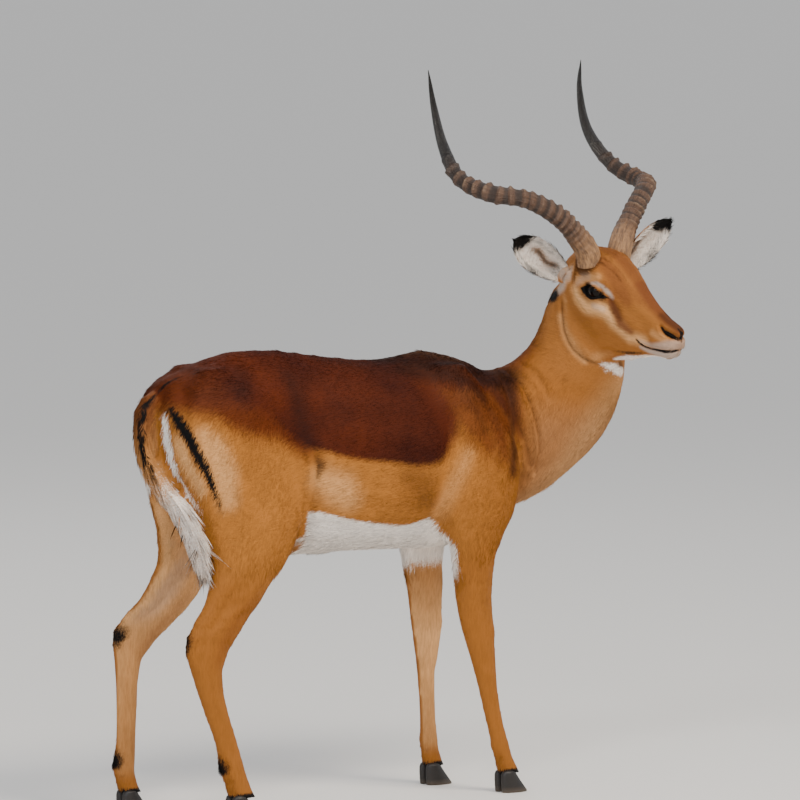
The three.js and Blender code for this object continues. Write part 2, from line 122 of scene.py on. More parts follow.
FLOOR_COLOUR = "E4E1DC"
floor_mesh = bmesh.new()
bmesh.ops.create_grid(floor_mesh, x_segments=1, y_segments=1, size=60)
floor = mesh_object("floor", floor_mesh)
paint = bpy.data.materials.new("matt_floor_paint")
paint.use_nodes = True
paint.node_tree.nodes["Principled BSDF"].inputs["Base Color"].default_value = from_hex(FLOOR_COLOUR)
paint.node_tree.nodes["Principled BSDF"].inputs["Roughness"].default_value = 0.9
floor.data.materials.append(paint)

world = bpy.data.worlds.new("studio")
world.use_nodes = True
world.node_tree.nodes["Background"].inputs["Color"].default_value = from_hex("EEF1F6")
world.node_tree.nodes["Background"].inputs["Strength"].default_value = 0.82
bpy.context.scene.world = world


def soft_light(name, place, aim, size, power, colour):
    """Hangs a round lamp: its place, aim and size in metres, its power in watts."""
    data = bpy.data.lights.new(name, "AREA")
    data.shape = "DISK"
    data.size = size
    data.energy = power
    data.color = from_hex(colour)[:3]
    lamp = bpy.data.objects.new(name, data)
    lamp.location = place
    lamp.rotation_mode = "QUATERNION"
    lamp.rotation_quaternion = (Vector(place) - Vector(aim)).to_track_quat("Z", "Y")
    bpy.context.scene.collection.objects.link(lamp)


soft_light("key_light", (0.9, -3.4, 4.6), (0.0, 0.0, 0.7), 2.2, 236, "FFF4E4")
soft_light("fill_light", (-4.2, -3.0, 2.2), (0.0, 0.0, 0.6), 3.0, 60, "EAF1FF")
soft_light("back_light", (1.0, 4.2, 4.0), (0.0, 0.0, 0.7), 3.0, 45, "FFFFFF")
soft_light("eye_light", (-1.72, -1.87, 3.0), (0.57, -0.14, 0.99), 0.6, 26, "FFFFFF")

# ---- The hide ------------------------------------------------------------------------------------------
# One skin covers the whole body. It is made by fusing the fleshy solids into one shell, letting in the
# eyeballs, horn cores and hooves, smoothing away the joints, and drawing it in by the depth of the coat.
# The ears are rolled leaves of gristle and skin that grow out of the same hide.
LEGS = ["leg_front_left", "leg_front_right", "leg_hind_left", "leg_hind_right"]
FLESH = ["trunk", "neck", "head", "tail", *LEGS]
SHELL_STEP = 0.007  # metres between points of the fused shell
SWELL = 0.6  # mm that each solid grows, so that the joint gaps close
HORN_CORES = [(-24, 46, 46), (-24, -46, 46)]
HORN_CORE_RADIUS = 0.024
CORONET = 38  # height at which the hide ends round the hooves
COAT_DEPTH = {"body": 3.2, "leg": 1.8, "head": 1.5, "tail": 6.0}
TAIL_LINE = [(-380, 0, 822), (-412, 0, 808), (-430, 0, 775), (-432, -3, 730), (-421, -12, 680),
             (-394, -40, 630), (-371, -62, 583), (-355, -76, 535), (-347, -82, 495)]


def settle(piece):
    """Makes a piece's modifiers part of its mesh."""
    graph = bpy.context.evaluated_depsgraph_get()
    made = bpy.data.meshes.new_from_object(piece.evaluated_get(graph))
    piece.modifiers.clear()
    piece.data = made


def edges_of(mesh):
    pairs = np.empty(len(mesh.edges) * 2, np.int32)
    mesh.edges.foreach_get("vertices", pairs)
    return pairs.reshape(-1, 2)


def places_of(mesh):
    """The mesh's points as body places."""
    flat = np.empty(len(mesh.vertices) * 3)
    mesh.vertices.foreach_get("co", flat)
    return world_to_body(flat.reshape(-1, 3))


def normals_of(mesh):
    flat = np.empty(len(mesh.vertices) * 3)
    mesh.vertex_normals.foreach_get("vector", flat)
    return flat.reshape(-1, 3)


def move_to(mesh, places):
    mesh.vertices.foreach_set("co", body_to_world(places).ravel())
    mesh.update()


def averaged(values, pairs):
    """Each point's mean of its neighbours."""
    count = np.maximum(np.bincount(pairs.ravel(), minlength=len(values)), 1)
    total = [
        np.bincount(pairs[:, 0], column[pairs[:, 1]], len(values))
        + np.bincount(pairs[:, 1], column[pairs[:, 0]], len(values))
        for column in values.T
    ]
    return (np.array(total) / count).T


def smooth(places, pairs, rounds, where=1.0):
    """Evens out bumps but keeps the volume: each round shrinks a little, then swells by as much."""
    weight = np.broadcast_to(np.asarray(where, float), len(places))[:, None]
    for _ in range(rounds):
        for step in (0.5, -0.525):
            places = places + step * weight * (averaged(places, pairs) - places)
    return places


def ramp(low, high, value):
    """A soft step from 0 at low to 1 at high."""
    share = np.clip((value - low) / (high - low), 0, 1)
    return share * share * (3 - 2 * share)


def stroke(places, path):
    """How far inside a band along a path each place is, in mm. A path's points are x, y, z and half width."""
    best = np.full(len(places), -1e3)
    for start, end in zip(path[:-1], path[1:]):
        start, end = (np.array(p + (0,) if len(p) == 3 else p, float) for p in (start, end))
        run = end - start
        share = np.clip((places - start[:3]) @ run[:3] / (run[:3] @ run[:3]), 0, 1)
        gap = np.linalg.norm(places - start[:3] - share[:, None] * run[:3], axis=1)
        best = np.maximum(best, start[3] + share * run[3] - gap)
    return best


def refine(piece, wanted):
    """Halves the spacing of the mesh where wanted."""
    bm = bmesh.new()
    bm.from_mesh(piece.data)
    bm.verts.ensure_lookup_table()
    edges = [e for e in bm.edges if wanted[e.verts[0].index] and wanted[e.verts[1].index]]
    bmesh.ops.subdivide_edges(bm, edges=edges, cuts=1, use_grid_fill=True)
    bm.to_mesh(piece.data)
    bm.free()


shell = bmesh.new()
for name in FLESH + [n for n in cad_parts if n.startswith(("hoof_", "eye_"))]:
    part = bmesh.new()
    part.from_mesh(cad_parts[name].data)
    bmesh.ops.remove_doubles(part, verts=part.verts, dist=0.0001)
    part.normal_update()
    if name in FLESH:
        for vertex in part.verts:
            vertex.co += vertex.normal * SWELL / 1000
    grown = bpy.data.meshes.new("grown")
    part.to_mesh(grown)
    part.free()
    shell.from_mesh(grown)
for core in HORN_CORES:
    bmesh.ops.create_icosphere(
        shell, subdivisions=3, radius=HORN_CORE_RADIUS,
        matrix=Matrix.Translation(body_to_world(head_to_body(core))),
    )
hide = mesh_object("hide", shell)
fuse = hide.modifiers.new("fuse", "REMESH")
fuse.mode = "VOXEL"
fuse.voxel_size = SHELL_STEP
settle(hide)


def in_head(places):
    """1 on the head, falling softly to 0 behind the jaw."""
    local = body_to_head(places)
    return ramp(-150, -90, local[:, 0]) * ramp(215, 150, np.linalg.norm(local - (40, 0, -40), axis=1))


at, pairs = places_of(hide.data), edges_of(hide.data)
fine = np.maximum(in_head(at), ramp(470, 430, at[:, 2]))
at = smooth(at, pairs, 10)
at = smooth(at, pairs, 90, where=1 - fine)
move_to(hide.data, at)

tail_near = -stroke(at, TAIL_LINE)
on_tail = ramp(44, 30, tail_near) * ramp(-370, -395, at[:, 0] - 0.2 * (700 - at[:, 2]).clip(0))
depth = COAT_DEPTH["body"] + (COAT_DEPTH["leg"] - COAT_DEPTH["body"]) * ramp(520, 400, at[:, 2])
depth += (COAT_DEPTH["head"] - depth) * in_head(at)
depth += (COAT_DEPTH["tail"] - depth) * on_tail
at = at - normals_of(hide.data) * (depth + SWELL)[:, None]
move_to(hide.data, at)

refine(hide, (in_head(at) > 0.05) | (at[:, 2] < 400))
at, pairs = places_of(hide.data), edges_of(hide.data)
at = smooth(at, pairs, 6, where=ramp(0, 0.1, in_head(at)) + ramp(400, 380, at[:, 2]))
move_to(hide.data, at)

# The ears: a leaf rolled into a scoop, from its tip (share 0) to its root (share 1).
EAR_LENGTH, EAR_WIDTH, EAR_GRISTLE = 149, 84, 1.5
EARS = {
    "left": {"root": (-40, 64, 12), "towards": (50, 91, 110), "opening": (1, -0.15, -0.1)},
    "right": {"root": (-70, -56, 6), "towards": (-34, -126, 74), "opening": (0.75, -0.5, 0.1)},
}
EAR_SHAPE = ([0, 0.03, 0.08, 0.16, 0.25, 0.38, 0.5, 0.62, 0.75, 0.88, 1],
             [0.06, 0.27, 0.46, 0.68, 0.86, 0.97, 1, 0.95, 0.82, 0.66, 0.5])


def ear_axes(ear):
    """The ear's own directions: towards its tip, out of its opening, and across."""
    along = np.array(ear["towards"], float)
    along /= np.linalg.norm(along)
    opening = np.array(ear["opening"], float)
    opening -= opening @ along * along
    opening /= np.linalg.norm(opening)
    return along, opening, np.cross(along, opening)


def tube(name, rings, sides, place):
    """A closed tube: a grid wrapped round and set point by point by place(share along, angle)."""
    bm = bmesh.new()
    bmesh.ops.create_grid(bm, x_segments=rings, y_segments=sides, size=0.5)
    places = np.array([place(v.co.x + 0.5, (v.co.y + 0.5) * 2 * math.pi) for v in bm.verts])
    for vertex, point in zip(bm.verts, body_to_world(places)):
        vertex.co = point
    bmesh.ops.remove_doubles(bm, verts=bm.verts, dist=0.00001)
    bmesh.ops.holes_fill(bm, edges=[e for e in bm.edges if e.is_boundary], sides=0)
    bmesh.ops.recalc_face_normals(bm, faces=bm.faces)
    return mesh_object(name, bm)


def ear_place(ear):
    """Where each point of an ear's tube goes."""
    along, opening, across = ear_axes(ear)

    def place(share, angle):
        half = EAR_WIDTH / 2 * np.interp(share, *EAR_SHAPE)
        roll = 0.8 + 0.75 * share
        rib = 0.5 * math.cos(9 * math.cos(angle)) * (math.sin(angle) > 0)
        thick = (EAR_GRISTLE * (1 + share) + rib) * math.sin(angle)
        turned, radius = roll * math.cos(angle), half / roll
        point = np.array(ear["root"], float) + along * (EAR_LENGTH * (1 - share) - 2)
        point += across * (radius - thick) * math.sin(turned)
        point += opening * (radius * 0.6 - (radius - thick) * math.cos(turned))
        return head_to_body(point)

    return place


leaves = {name: tube("leaf_" + name, 40, 48, ear_place(ear)) for name, ear in EARS.items()}
for leaf in leaves.values():
    join = hide.modifiers.new("join", "BOOLEAN")
    join.operation, join.solver, join.object = "UNION", "EXACT", leaf
settle(hide)
for leaf in leaves.values():
    bpy.data.objects.remove(leaf)

trim = bmesh.new()
trim.from_mesh(hide.data)
everything = trim.verts[:] + trim.edges[:] + trim.faces[:]
level = body_to_world((0, 0, CORONET))
bmesh.ops.bisect_plane(trim, geom=everything, plane_co=level, plane_no=(0, 0, -1), clear_outer=True)
bmesh.ops.holes_fill(trim, edges=[e for e in trim.edges if e.is_boundary], sides=0)
bmesh.ops.triangulate(trim, faces=[f for f in trim.faces if len(f.verts) > 4])
trim.to_mesh(hide.data)
trim.free()

# ---- The face ------------------------------------------------------------------------------------------
# Lids, nostrils, lips and the folds of the face are worked into the hide. Places are head places with both
# sides folded on to one. The lids lie on the eyeball, and the nostrils are slits that run back and up.
EYEBALL_AT, EYEBALL_RADIUS = np.array([9.0, 48.0, -6.0]), 17.0
LID_OPENING = (18.0, 11.8)  # half the opening's length and height
LID_THICKNESS = 1.8
EYE_SOCKET, SOCKET_REACH = (12, 60, -6), 36
MUZZLE, MUZZLE_REACH = (170, 14, -72), 60
NOSTRIL = [(160, 24, -45, 1.2), (168, 26, -51, 3), (179, 25, -54, 4.6), (190, 19, -58, 4.2), (199, 9, -63, 2)]
MOUTH = [(106, 27, -86, 0.8), (113, 26, -91, 1.6), (124, 24, -96, 1.8), (142, 24, -97, 1.8),
         (169, 24, -94, 1.6), (187, 20, -91, 1.6), (199, 9, -88, 1.6), (203, 0, -87, 1.6)]
PHILTRUM = [(194, 0, -46, 1), (202, 0, -62, 1.8), (203, 0, -76, 1.6), (202, 0, -87, 1.6)]
WRINKLES = [
    [(6, 44, 50), (25, 40, 43), (38, 36, 36), (54, 33, 23)],
    [(7, 34, 57), (28, 29, 50), (46, 27, 38), (63, 26, 24)],
    [(12, 39, 53), (30, 34, 46), (44, 31, 37)],
]
TEMPLE_FOLD = [(-64, 47, 33), (-52, 57, 0), (-39, 59, -27), (-23, 60, -39), (-5, 56, -54)]
# Each is a path, its reach and its height in mm: a ridge, or a groove where the height is negative.
FACE_RELIEF = [
    ([(20, 56, -36), (50, 44, -58), (85, 33, -72)], 9, 2.2),
    ([(44, 50, -14), (56, 46, -24), (66, 41, -36)], 5, -2.2),
    ([(40, 30, 38), (80, 22, 16), (120, 17, -8), (150, 15, -24)], 8, 1.8),
    ([(84, 34, -32), (124, 29, -52)], 13, -2.5),
    ([(22, 55, -72), (34, 49, -100), (22, 42, -126)], 8, -2.5),
    ([(-60, 50, -90), (-30, 44, -128), (10, 34, -145)], 9, 2),
    ([(146, 26, -84), (174, 27, -83), (190, 20, -81)], 6, 1.4),
    ([(138, 20, -103), (168, 20, -103), (186, 12, -101)], 5, 1.4),
    ([(162, 25, -39), (179, 26, -43), (193, 17, -47), (199, 8, -52)], 4.5, 2.2),
    ([(-10, 50, 34), (14, 54, 26), (34, 50, 14)], 7, 2.4),
    (TEMPLE_FOLD, 3.2, -1.8),
    (MOUTH, 2.2, -3.0),
    (PHILTRUM, 2.2, -1.6),
    (NOSTRIL, 3.6, -7.5),
] + [(line, 2.4, -1.0) for line in WRINKLES]


def near(places, path, reach):
    """1 on a path, falling softly to 0 away from it."""
    return np.exp(-(stroke(places, path) / reach) ** 2)


def folded(places):
    """Places with the left side laid on the right, for what both sides share."""
    return np.stack([places[:, 0], np.abs(places[:, 1]), places[:, 2]], 1)


def opening_edge(local):
    """How far outside the almond opening of the lids a folded head place is, seen from the side."""
    ahead = (local[:, 0] - EYEBALL_AT[0]) / LID_OPENING[0]
    high = (local[:, 2] - EYEBALL_AT[2] + 1.2 + 1.6 * ahead) / (LID_OPENING[1] * (1 - 0.18 * ahead))
    return (np.hypot(ahead, high) - 1) * 0.5 * sum(LID_OPENING)


# The two deep folds at the root of the neck need as fine a mesh as the face does.
FOLD_BEFORE_SHOULDER = [(400, -22, 828), (405, -51, 810), (413, -67, 791), (418, -84, 759), (426, -90, 725),
                        (434, -89, 693), (440, -82, 665), (436, -68, 624)]
SHOULDER_FRONT = [(379, -40, 812), (376, -55, 800), (375, -74, 772), (378, -83, 745), (388, -87, 715),
                  (405, -86, 685), (421, -76, 640)]
local = folded(body_to_head(places_of(hide.data)))
from_eye = np.linalg.norm(local - EYE_SOCKET, axis=1)
from_muzzle = np.linalg.norm(local - MUZZLE, axis=1)
by_nose = (from_muzzle < MUZZLE_REACH) | (stroke(local, MOUTH) > -12)
by_fold = sum(near(places_of(hide.data), path, 16) for path in (FOLD_BEFORE_SHOULDER, SHOULDER_FRONT)) > 0.3
refine(hide, (from_eye < SOCKET_REACH) | by_nose | by_fold)
at, pairs = places_of(hide.data), edges_of(hide.data)
raw = body_to_head(at)
local = folded(raw)
by_eye = ramp(SOCKET_REACH + 2, SOCKET_REACH - 6, np.linalg.norm(local - EYE_SOCKET, axis=1))
soft = ramp(MUZZLE_REACH + 4, MUZZLE_REACH - 6, np.linalg.norm(local - MUZZLE, axis=1))
soft = np.maximum(by_eye, soft)
at = smooth(at, pairs, 6, where=soft)
move_to(hide.data, at)
raw = body_to_head(at)
local = folded(raw)

plain_at = at  # the hide before it is carved, on which the markings are laid out
outside = opening_edge(local)
flat = np.hypot(local[:, 0] - EYEBALL_AT[0], local[:, 2] - EYEBALL_AT[2])


def ball(extra):
    """How far out a ball that much larger than the eyeball reaches, over each place."""
    return EYEBALL_AT[1] + np.sqrt(((EYEBALL_RADIUS + extra) ** 2 - flat ** 2).clip(0))


lid = np.maximum(ball(LID_THICKNESS + 1.2 * ramp(0, 4, outside)), local[:, 1] * ramp(0, 5, outside))
crease = 1.3 * np.exp(-((outside - 8) / 2) ** 2) * ramp(-4, 6, local[:, 2])
out = local[:, 1] + (lid - local[:, 1]) * ramp(14, 3, outside) - crease
out = np.where(outside < 0, ball(LID_THICKNESS) - 7 * ramp(0, -3, outside), out)
changed = (np.linalg.norm(local - EYE_SOCKET, axis=1) < SOCKET_REACH - 2) & (local[:, 1] > 40)
raw[:, 1] = np.where(changed, np.sign(raw[:, 1]) * out, raw[:, 1])
at = smooth(head_to_body(raw), pairs, 2, where=changed * ramp(0, 1.5, outside))
move_to(hide.data, at)

raw = body_to_head(at)
local = folded(raw)
lift = sum(height * near(local, path, reach) for path, reach, height in FACE_RELIEF)
lift *= ramp(0, 6, opening_edge(local) + 20 * (1 - by_eye))
at = at + normals_of(hide.data) * lift[:, None]
move_to(hide.data, at)

# ---- The body's folds and muscles ----------------------------------------------------------------------
# Where the head turns, the skin of the right side folds behind the jaw and at the root of the neck. The
# shoulder blade, the fold of the flank, the muscles of the thigh and the sinews of the legs show through
# the short coat.
JAW_FOLD = [(493, -70, 957), (491, -76, 932), (491, -84, 903), (494, -94, 882), (501, -104, 865),
            (512, -113, 853), (525, -122, 843), (542, -131, 837)]
LOW_NECK_FOLD = [(428, -30, 839), (441, -60, 823), (450, -78, 800), (455, -89, 773)]
SHOULDER_CREASE = [(354, -102, 711), (356, -106, 693), (362, -111, 652)]
NECK_FOLDS = [
    (JAW_FOLD, 4.5, -4),
    ([(508, -82, 935), (506, -92, 903), (511, -104, 880), (524, -116, 862)], 9, 3),
    (FOLD_BEFORE_SHOULDER, 5, -5.5),
    (LOW_NECK_FOLD, 6, -3.5),
    (SHOULDER_FRONT, 9, -5),
    (SHOULDER_CREASE, 5, -3),
]
BODY_RELIEF = [
    ([(330, 60, 825), (318, 95, 780), (303, 111, 738), (304, 124, 660), (310, 126, 600)], 15, -3.5),
    ([(250, 81, 816), (230, 94, 779), (218, 102, 722), (206, 114, 665), (196, 114, 615), (192, 93, 547)],
     14, -4),
    ([(225, 122, 650), (240, 122, 600), (235, 118, 560)], 26, 3),
    ([(262, 80, 820), (268, 105, 760), (270, 118, 700)], 12, 2.5),
    ([(-100, 109, 700), (-95, 109, 662), (-97, 107, 623), (-101, 95, 584), (-92, 62, 520)], 9, -4),
    ([(-222, 120, 748), (-201, 122, 708), (-176, 118, 668)], 18, -3),
    ([(-300, 112, 740), (-270, 122, 660), (-235, 120, 600)], 20, -2.5),
    ([(-235, 100, 822), (-195, 106, 800)], 22, 4),
    ([(-120, 0, 500), (-60, 0, 488), (-10, 0, 487)], 14, 5),
    ([(-228, 0, 512), (-246, 0, 520)], 26, 16),
    ([(60, 112, 740), (30, 116, 640), (10, 105, 570)], 9, -0.9),
    ([(20, 112, 740), (-10, 116, 640), (-30, 105, 570)], 9, -0.9),
    ([(-20, 112, 740), (-45, 114, 650)], 9, -0.9),
    ([(520, -45, 740), (470, -20, 640), (430, 0, 560)], 16, 2.5),
]
lift = sum(height * near(at, path, reach) for path, reach, height in NECK_FOLDS)
lift += sum(height * near(folded(at), path, reach) for path, reach, height in BODY_RELIEF)


def leg_shares(places):
    """For places on the legs, how far from back to front and from inside to outside they are, 0 to 1."""
    ahead, out = np.full(len(places), 0.5), np.full(len(places), 0.5)
    for hind in (False, True):
        for left in (False, True):
            own = (places[:, 2] < 520) & ((places[:, 0] < -80) == hind) & ((places[:, 1] > 0) == left)
            own &= (places[:, 0] > 180) | hind
            own = np.flatnonzero(own)
            level = (places[own, 2] / 8).astype(int)
            for axis, shares in ((0, ahead), (1, out)):
                value = places[own, axis] if axis == 0 else np.abs(places[own, axis])
                low, high = np.full(70, 1e9), np.full(70, -1e9)
                np.minimum.at(low, level, value)
                np.maximum.at(high, level, value)
                shares[own] = (value - low[level]) / np.maximum(high[level] - low[level], 1)
    return ahead, out


leg_ahead, leg_out = leg_shares(at)
hind = at[:, 0] < -80
up = at[:, 2]
side_on = np.abs(leg_out - 0.5) * 2
sinew = np.exp(-((leg_ahead - np.where(hind, 0.42, 0.4)) / 0.11) ** 2) * side_on
lift -= 2.4 * sinew * ramp(100, 130, up) * ramp(310, 270, up)
hollow = np.exp(-((leg_ahead - 0.34) / 0.13) ** 2) * side_on
lift -= np.where(hind, 6.0, 0) * hollow * ramp(350, 385, up) * ramp(480, 430, up)
lift += np.where(hind, 0, 2.0) * np.exp(-((up - 322) / 16) ** 2) * ramp(0.4, 0.9, leg_ahead) * (up < 400)
lift += np.where(hind, 2.2, 0) * np.exp(-((up - 352) / 13) ** 2) * ramp(0.4, 0, leg_ahead) * (up < 400)
lift += 1.6 * np.exp(-((up - 92) / 9) ** 2) * ramp(0.55, 0.0, leg_ahead)
lift -= 1.6 * np.exp(-((up - 68) / 8) ** 2) * ramp(0.5, 0.1, leg_ahead)
at = at + normals_of(hide.data) * lift[:, None]
at = smooth(at, pairs, 3, where=1 - soft)
move_to(hide.data, at)

for polygon in hide.data.polygons:
    polygon.use_smooth = True

# ---- The markings --------------------------------------------------------------------------------------
# An impala has a chestnut saddle with a sharp lower edge, tan sides, a white belly, a black stripe on each
# buttock, and a face with dark and white patches. Each marking is a band along a path, or the side of an
# edge, kept on the hide's points as how far inside it they are, so that hide and tufts share one pattern.
SADDLE_EDGE = ([-430, -365, -320, -281, -231, -185, -159, -136, -109, -68, -36, -4, 40, 85, 132, 180, 206],
               [830, 817, 812, 802, 785, 764, 742, 722, 706, 697, 686, 679, 673, 667, 658, 655, 662])
SADDLE_FRONT = ([650, 669, 703, 741, 780, 805, 826, 845, 880], [196, 210, 223, 228, 222, 200, 178, 160, 150])
RUSSET_EDGE = ([-420, -365, -320, -287, -240, -188, -150, -122, -60],
               [806, 796, 786, 762, 748, 738, 716, 700, 680])
BELLY_EDGE = ([-140, -77, -36, 11, 57, 106, 134, 170, 189, 219, 236, 242, 250],
              [590, 579, 568, 556, 549, 541, 542, 554, 547, 521, 496, 440, 400])
THIGH_EDGE = ([500, 545, 584, 623, 697], [-84, -92, -104, -100, -98])
ELBOW_EDGE = ([400, 496, 521, 547], [240, 236, 221, 195])
BUTTOCK_STRIPE = [(-397, 57, 796, 7), (-393, 69, 781, 11), (-384, 81, 763, 12), (-376, 96, 740, 11.5),
                  (-368, 102, 719, 10.5), (-355, 106, 696, 9.5), (-339, 108, 666, 8), (-328, 108, 637, 6.5),
                  (-317, 108, 613, 5), (-310, 108, 588, 2)]
WHITE_RUMP = [(-402, 42, 790, 3), (-401, 48, 771, 7), (-400, 51, 735, 9.5), (-396, 53, 700, 9.5),
              (-386, 57, 672, 8.5), (-374, 66, 642, 8), (-360, 78, 617, 7), (-348, 88, 598, 6)]
TAIL_STRIPE = [(-338, -24, 860, 2), (-352, -21, 852, 3.5), (-376, -18, 842, 4), (-401, -16, 825, 5),
               (-428, -15, 797, 6), (-438, -15, 769, 7), (-441, -15, 731, 7), (-434, -24, 691, 6),
               (-424, -28, 655, 3)]
FACE_WHITE = [
    ([(165, 6, -113, 8), (130, 6, -118, 8), (106, 5, -124, 7), (80, 8, -130, 8), (56, 6, -136, 7),
      (44, 6, -140, 4)], 4),
    ([(24, 17, -155, 3), (33, 6, -160, 7), (35, -4, -160, 9), (36, -16, -160, 9)], 5),
    ([(36, 12, -166, 8), (36, 30, -172, 8)], 5),
]
FACE_BLACK = [
    ([(*p[:3], p[3] + 1.4) for p in NOSTRIL], 1.3),
    ([(*p[:3], p[3] + 2.2) for p in MOUTH], 1.1),
    ([(190, 4, -43, 2), (198, 2, -52, 3.6), (202, 0, -62, 4.8), (203, 0, -74, 3), (202, 0, -88, 2.4)], 1.3),
    ([(200, 7, -62, 3), (203, 0, -62, 4)], 2.5),
    ([(47, 24, -123, 1), (70, 20, -120, 2.4), (84, 17, -118, 3), (112, 16, -113, 3), (130, 17, -110, 2)], 3),
    ([(20, 58, -20, 2), (34, 54, -20, 2)], 5),
]
# A soft patch has a path, how soft its edge is and how strong it is.
FACE_RUSSET = [
    ([(46, 50, -16, 4), (56, 45, -34, 7), (70, 36, -60, 7), (93, 31, -72, 4)], 10, 0.85),
    ([(83, 5, 19, 12), (108, 4, 0, 14), (140, 3, -20, 13), (170, 2, -34, 14), (190, 2, -42, 12)], 13, 0.75),
    ([(-20, 0, 68, 9), (20, 4, 60, 12), (54, 6, 42, 12), (83, 5, 19, 10)], 16, 0.55),
    ([(44, 30, 30, 5), (70, 26, 10, 6), (100, 20, -10, 5)], 10, 0.3),
    ([(10, 40, 50, 10), (38, 40, 32, 14), (61, 38, 6, 14), (78, 34, -12, 8)], 14, 0.5),
]
FACE_DARK = [
    ([(48, 48, -18, 2), (58, 43, -36, 4), (68, 38, -50, 2)], 8, 0.35),
    ([(150, 8, -27, 6), (176, 7, -36, 9), (190, 5, -42, 8)], 9, 0.5),
    # Painted shade in the fold over the temple.
    (TEMPLE_FOLD, 3, 0.7),
    ([(-52, 50, 42, 4), (-46, 54, 22, 3), (-44, 57, 2, 2)], 5, 0.7),
    ([(-26, 60, -18, 2), (-4, 58, -28, 3), (20, 56, -30, 2)], 6, 0.3),
    ([(-30, 60, 12, 4), (-8, 60, 22, 6), (8, 58, 30, 4)], 9, 0.22),
    ([(-30, 58, -66, 8), (0, 58, -78, 12), (30, 50, -88, 9)], 16, 0.14),
    # Painted shadow under the jaw, above the white of the throat.
    ([(37, 20, -153, 5), (33, 37, -172, 4)], 6, 0.55),
    ([(150, 20, -88, 10), (196, 6, -84, 12)], 10, 0.14),
    ([(140, 18, -106, 5), (196, 5, -102, 8)], 7, 0.2),
# Painted shade in the wrinkles over the eyes.
] + [([p + (1.0,) for p in line], 2.2, 0.75) for line in WRINKLES]
FACE_PALE = [
    ([(-42, 58, 3, 3), (-26, 60, 10, 8), (-3, 62, 18, 8), (16, 58, 22, 4)], 10, 0.5),
    ([(-84, 48, -18, 8), (-68, 55, 2, 8), (-62, 56, 24, 6)], 12, 0.85),
    ([(-40, 59, -14, 3), (-25, 60, -30, 6), (-3, 58, -42, 9), (24, 55, -40, 10), (42, 48, -42, 10),
      (60, 41, -64, 9), (90, 31, -84, 7), (126, 26, -84, 5)], 16, 1.0),
    ([(-65, 59, -74, 4), (-42, 61, -108, 6), (-19, 55, -134, 6), (0, 45, -150, 5)], 10, 0.45),
    ([(40, 24, -134, 6), (10, 30, -144, 8)], 10, 0.28),
    ([(146, 27, -62, 5), (176, 26, -68, 5)], 8, 0.35),
]
FACE_FROST = [
    ([(2, 62, 8, 0.5), (16, 60, 11, 1.6), (30, 56, 6, 2.6), (43, 50, -4, 2.6), (51, 47, -13, 0.6)], 5, 0.9),
    ([(114, 26, -86, 1), (130, 25, -88, 3), (150, 26, -88, 5), (170, 26, -84, 8), (186, 23, -78, 9),
      (198, 12, -76, 9), (203, 2, -76, 8)], 7, 0.55),
    ([(116, 22, -99, 2), (135, 20, -103, 5), (160, 20, -104, 9), (180, 17, -102, 10), (194, 6, -98, 10),
      (196, 0, -99, 10)], 6, 0.8),
    ([(-62, 55, 22, 3), (-66, 56, 5, 7), (-72, 60, 12, 7), (-80, 50, -16, 9), (-90, 46, -28, 7)], 10, 0.85),
    ([(-34, 59, -2, 3), (-22, 61, 12, 5), (-6, 62, 18, 4)], 9, 0.3),
    ([(14, 56, -36, 3), (34, 50, -38, 3)], 8, 0.45),
]
NECK_PALE = [
    ([(500, -80, 950), (503, -90, 910), (511, -106, 880), (528, -121, 858)], 8, 0.4),
    ([(500, -40, 980), (505, -70, 985), (500, -80, 960)], 10, 0.55),
    ([(600, -128, 800, 12), (586, -116, 762, 18), (562, -95, 703, 24), (527, -57, 632, 30),
      (470, -20, 560, 34), (400, 0, 520, 30)], 50, 0.42),
]
# Painted shade in the folds of the neck and along the front of the shoulder.
NECK_FOLD_SHADE = [
    ([p + (1,) for p in JAW_FOLD[:-1]] + JAW_FOLD[-1:], 4.5, 0.85),
    (FOLD_BEFORE_SHOULDER[:7], 6, 1.3),
    (FOLD_BEFORE_SHOULDER[6:], 6, 0.7),
    (LOW_NECK_FOLD, 7, 0.6),
    ([p + (3,) for p in SHOULDER_FRONT], 14, 0.42),
    (SHOULDER_CREASE, 6, 0.6),
]
BODY_RUSSET = [
    ([(150, 40, 845, 40), (236, 60, 836, 46), (300, 60, 828, 44), (340, 40, 828, 40)], 26, 1.0),
    ([(180, 60, 815, 26), (214, 94, 755, 20), (222, 100, 722, 6)], 26, 1.0),
    ([(345, 40, 815, 24), (376, 48, 806, 24), (378, 64, 775, 18), (380, 84, 735, 12), (390, 88, 705, 6)],
     22, 0.85),
    ([(405, 86, 680, 2), (425, 76, 640, 2)], 12, 0.4),
    ([(325, 60, 820, 22), (350, 74, 790, 22), (366, 84, 755, 14)], 22, 1.0),
    ([(240, 98, 770, 20), (275, 114, 726, 24), (300, 118, 694, 14)], 34, 0.8),
    ([(300, 95, 755, 22), (325, 104, 710, 20), (330, 108, 670, 12)], 34, 0.85),
    ([(180, 50, 825, 24), (215, 75, 805, 30), (262, 90, 785, 40), (310, 92, 760, 42), (345, 92, 735, 30)],
     40, 0.85),
    ([(345, 85, 760, 16), (360, 104, 700, 12), (352, 114, 640, 8)], 26, 0.6),
    ([(400, 0, 830, 28), (450, -5, 868, 30), (478, -20, 930, 24), (488, -30, 990, 20)], 36, 0.8),
]
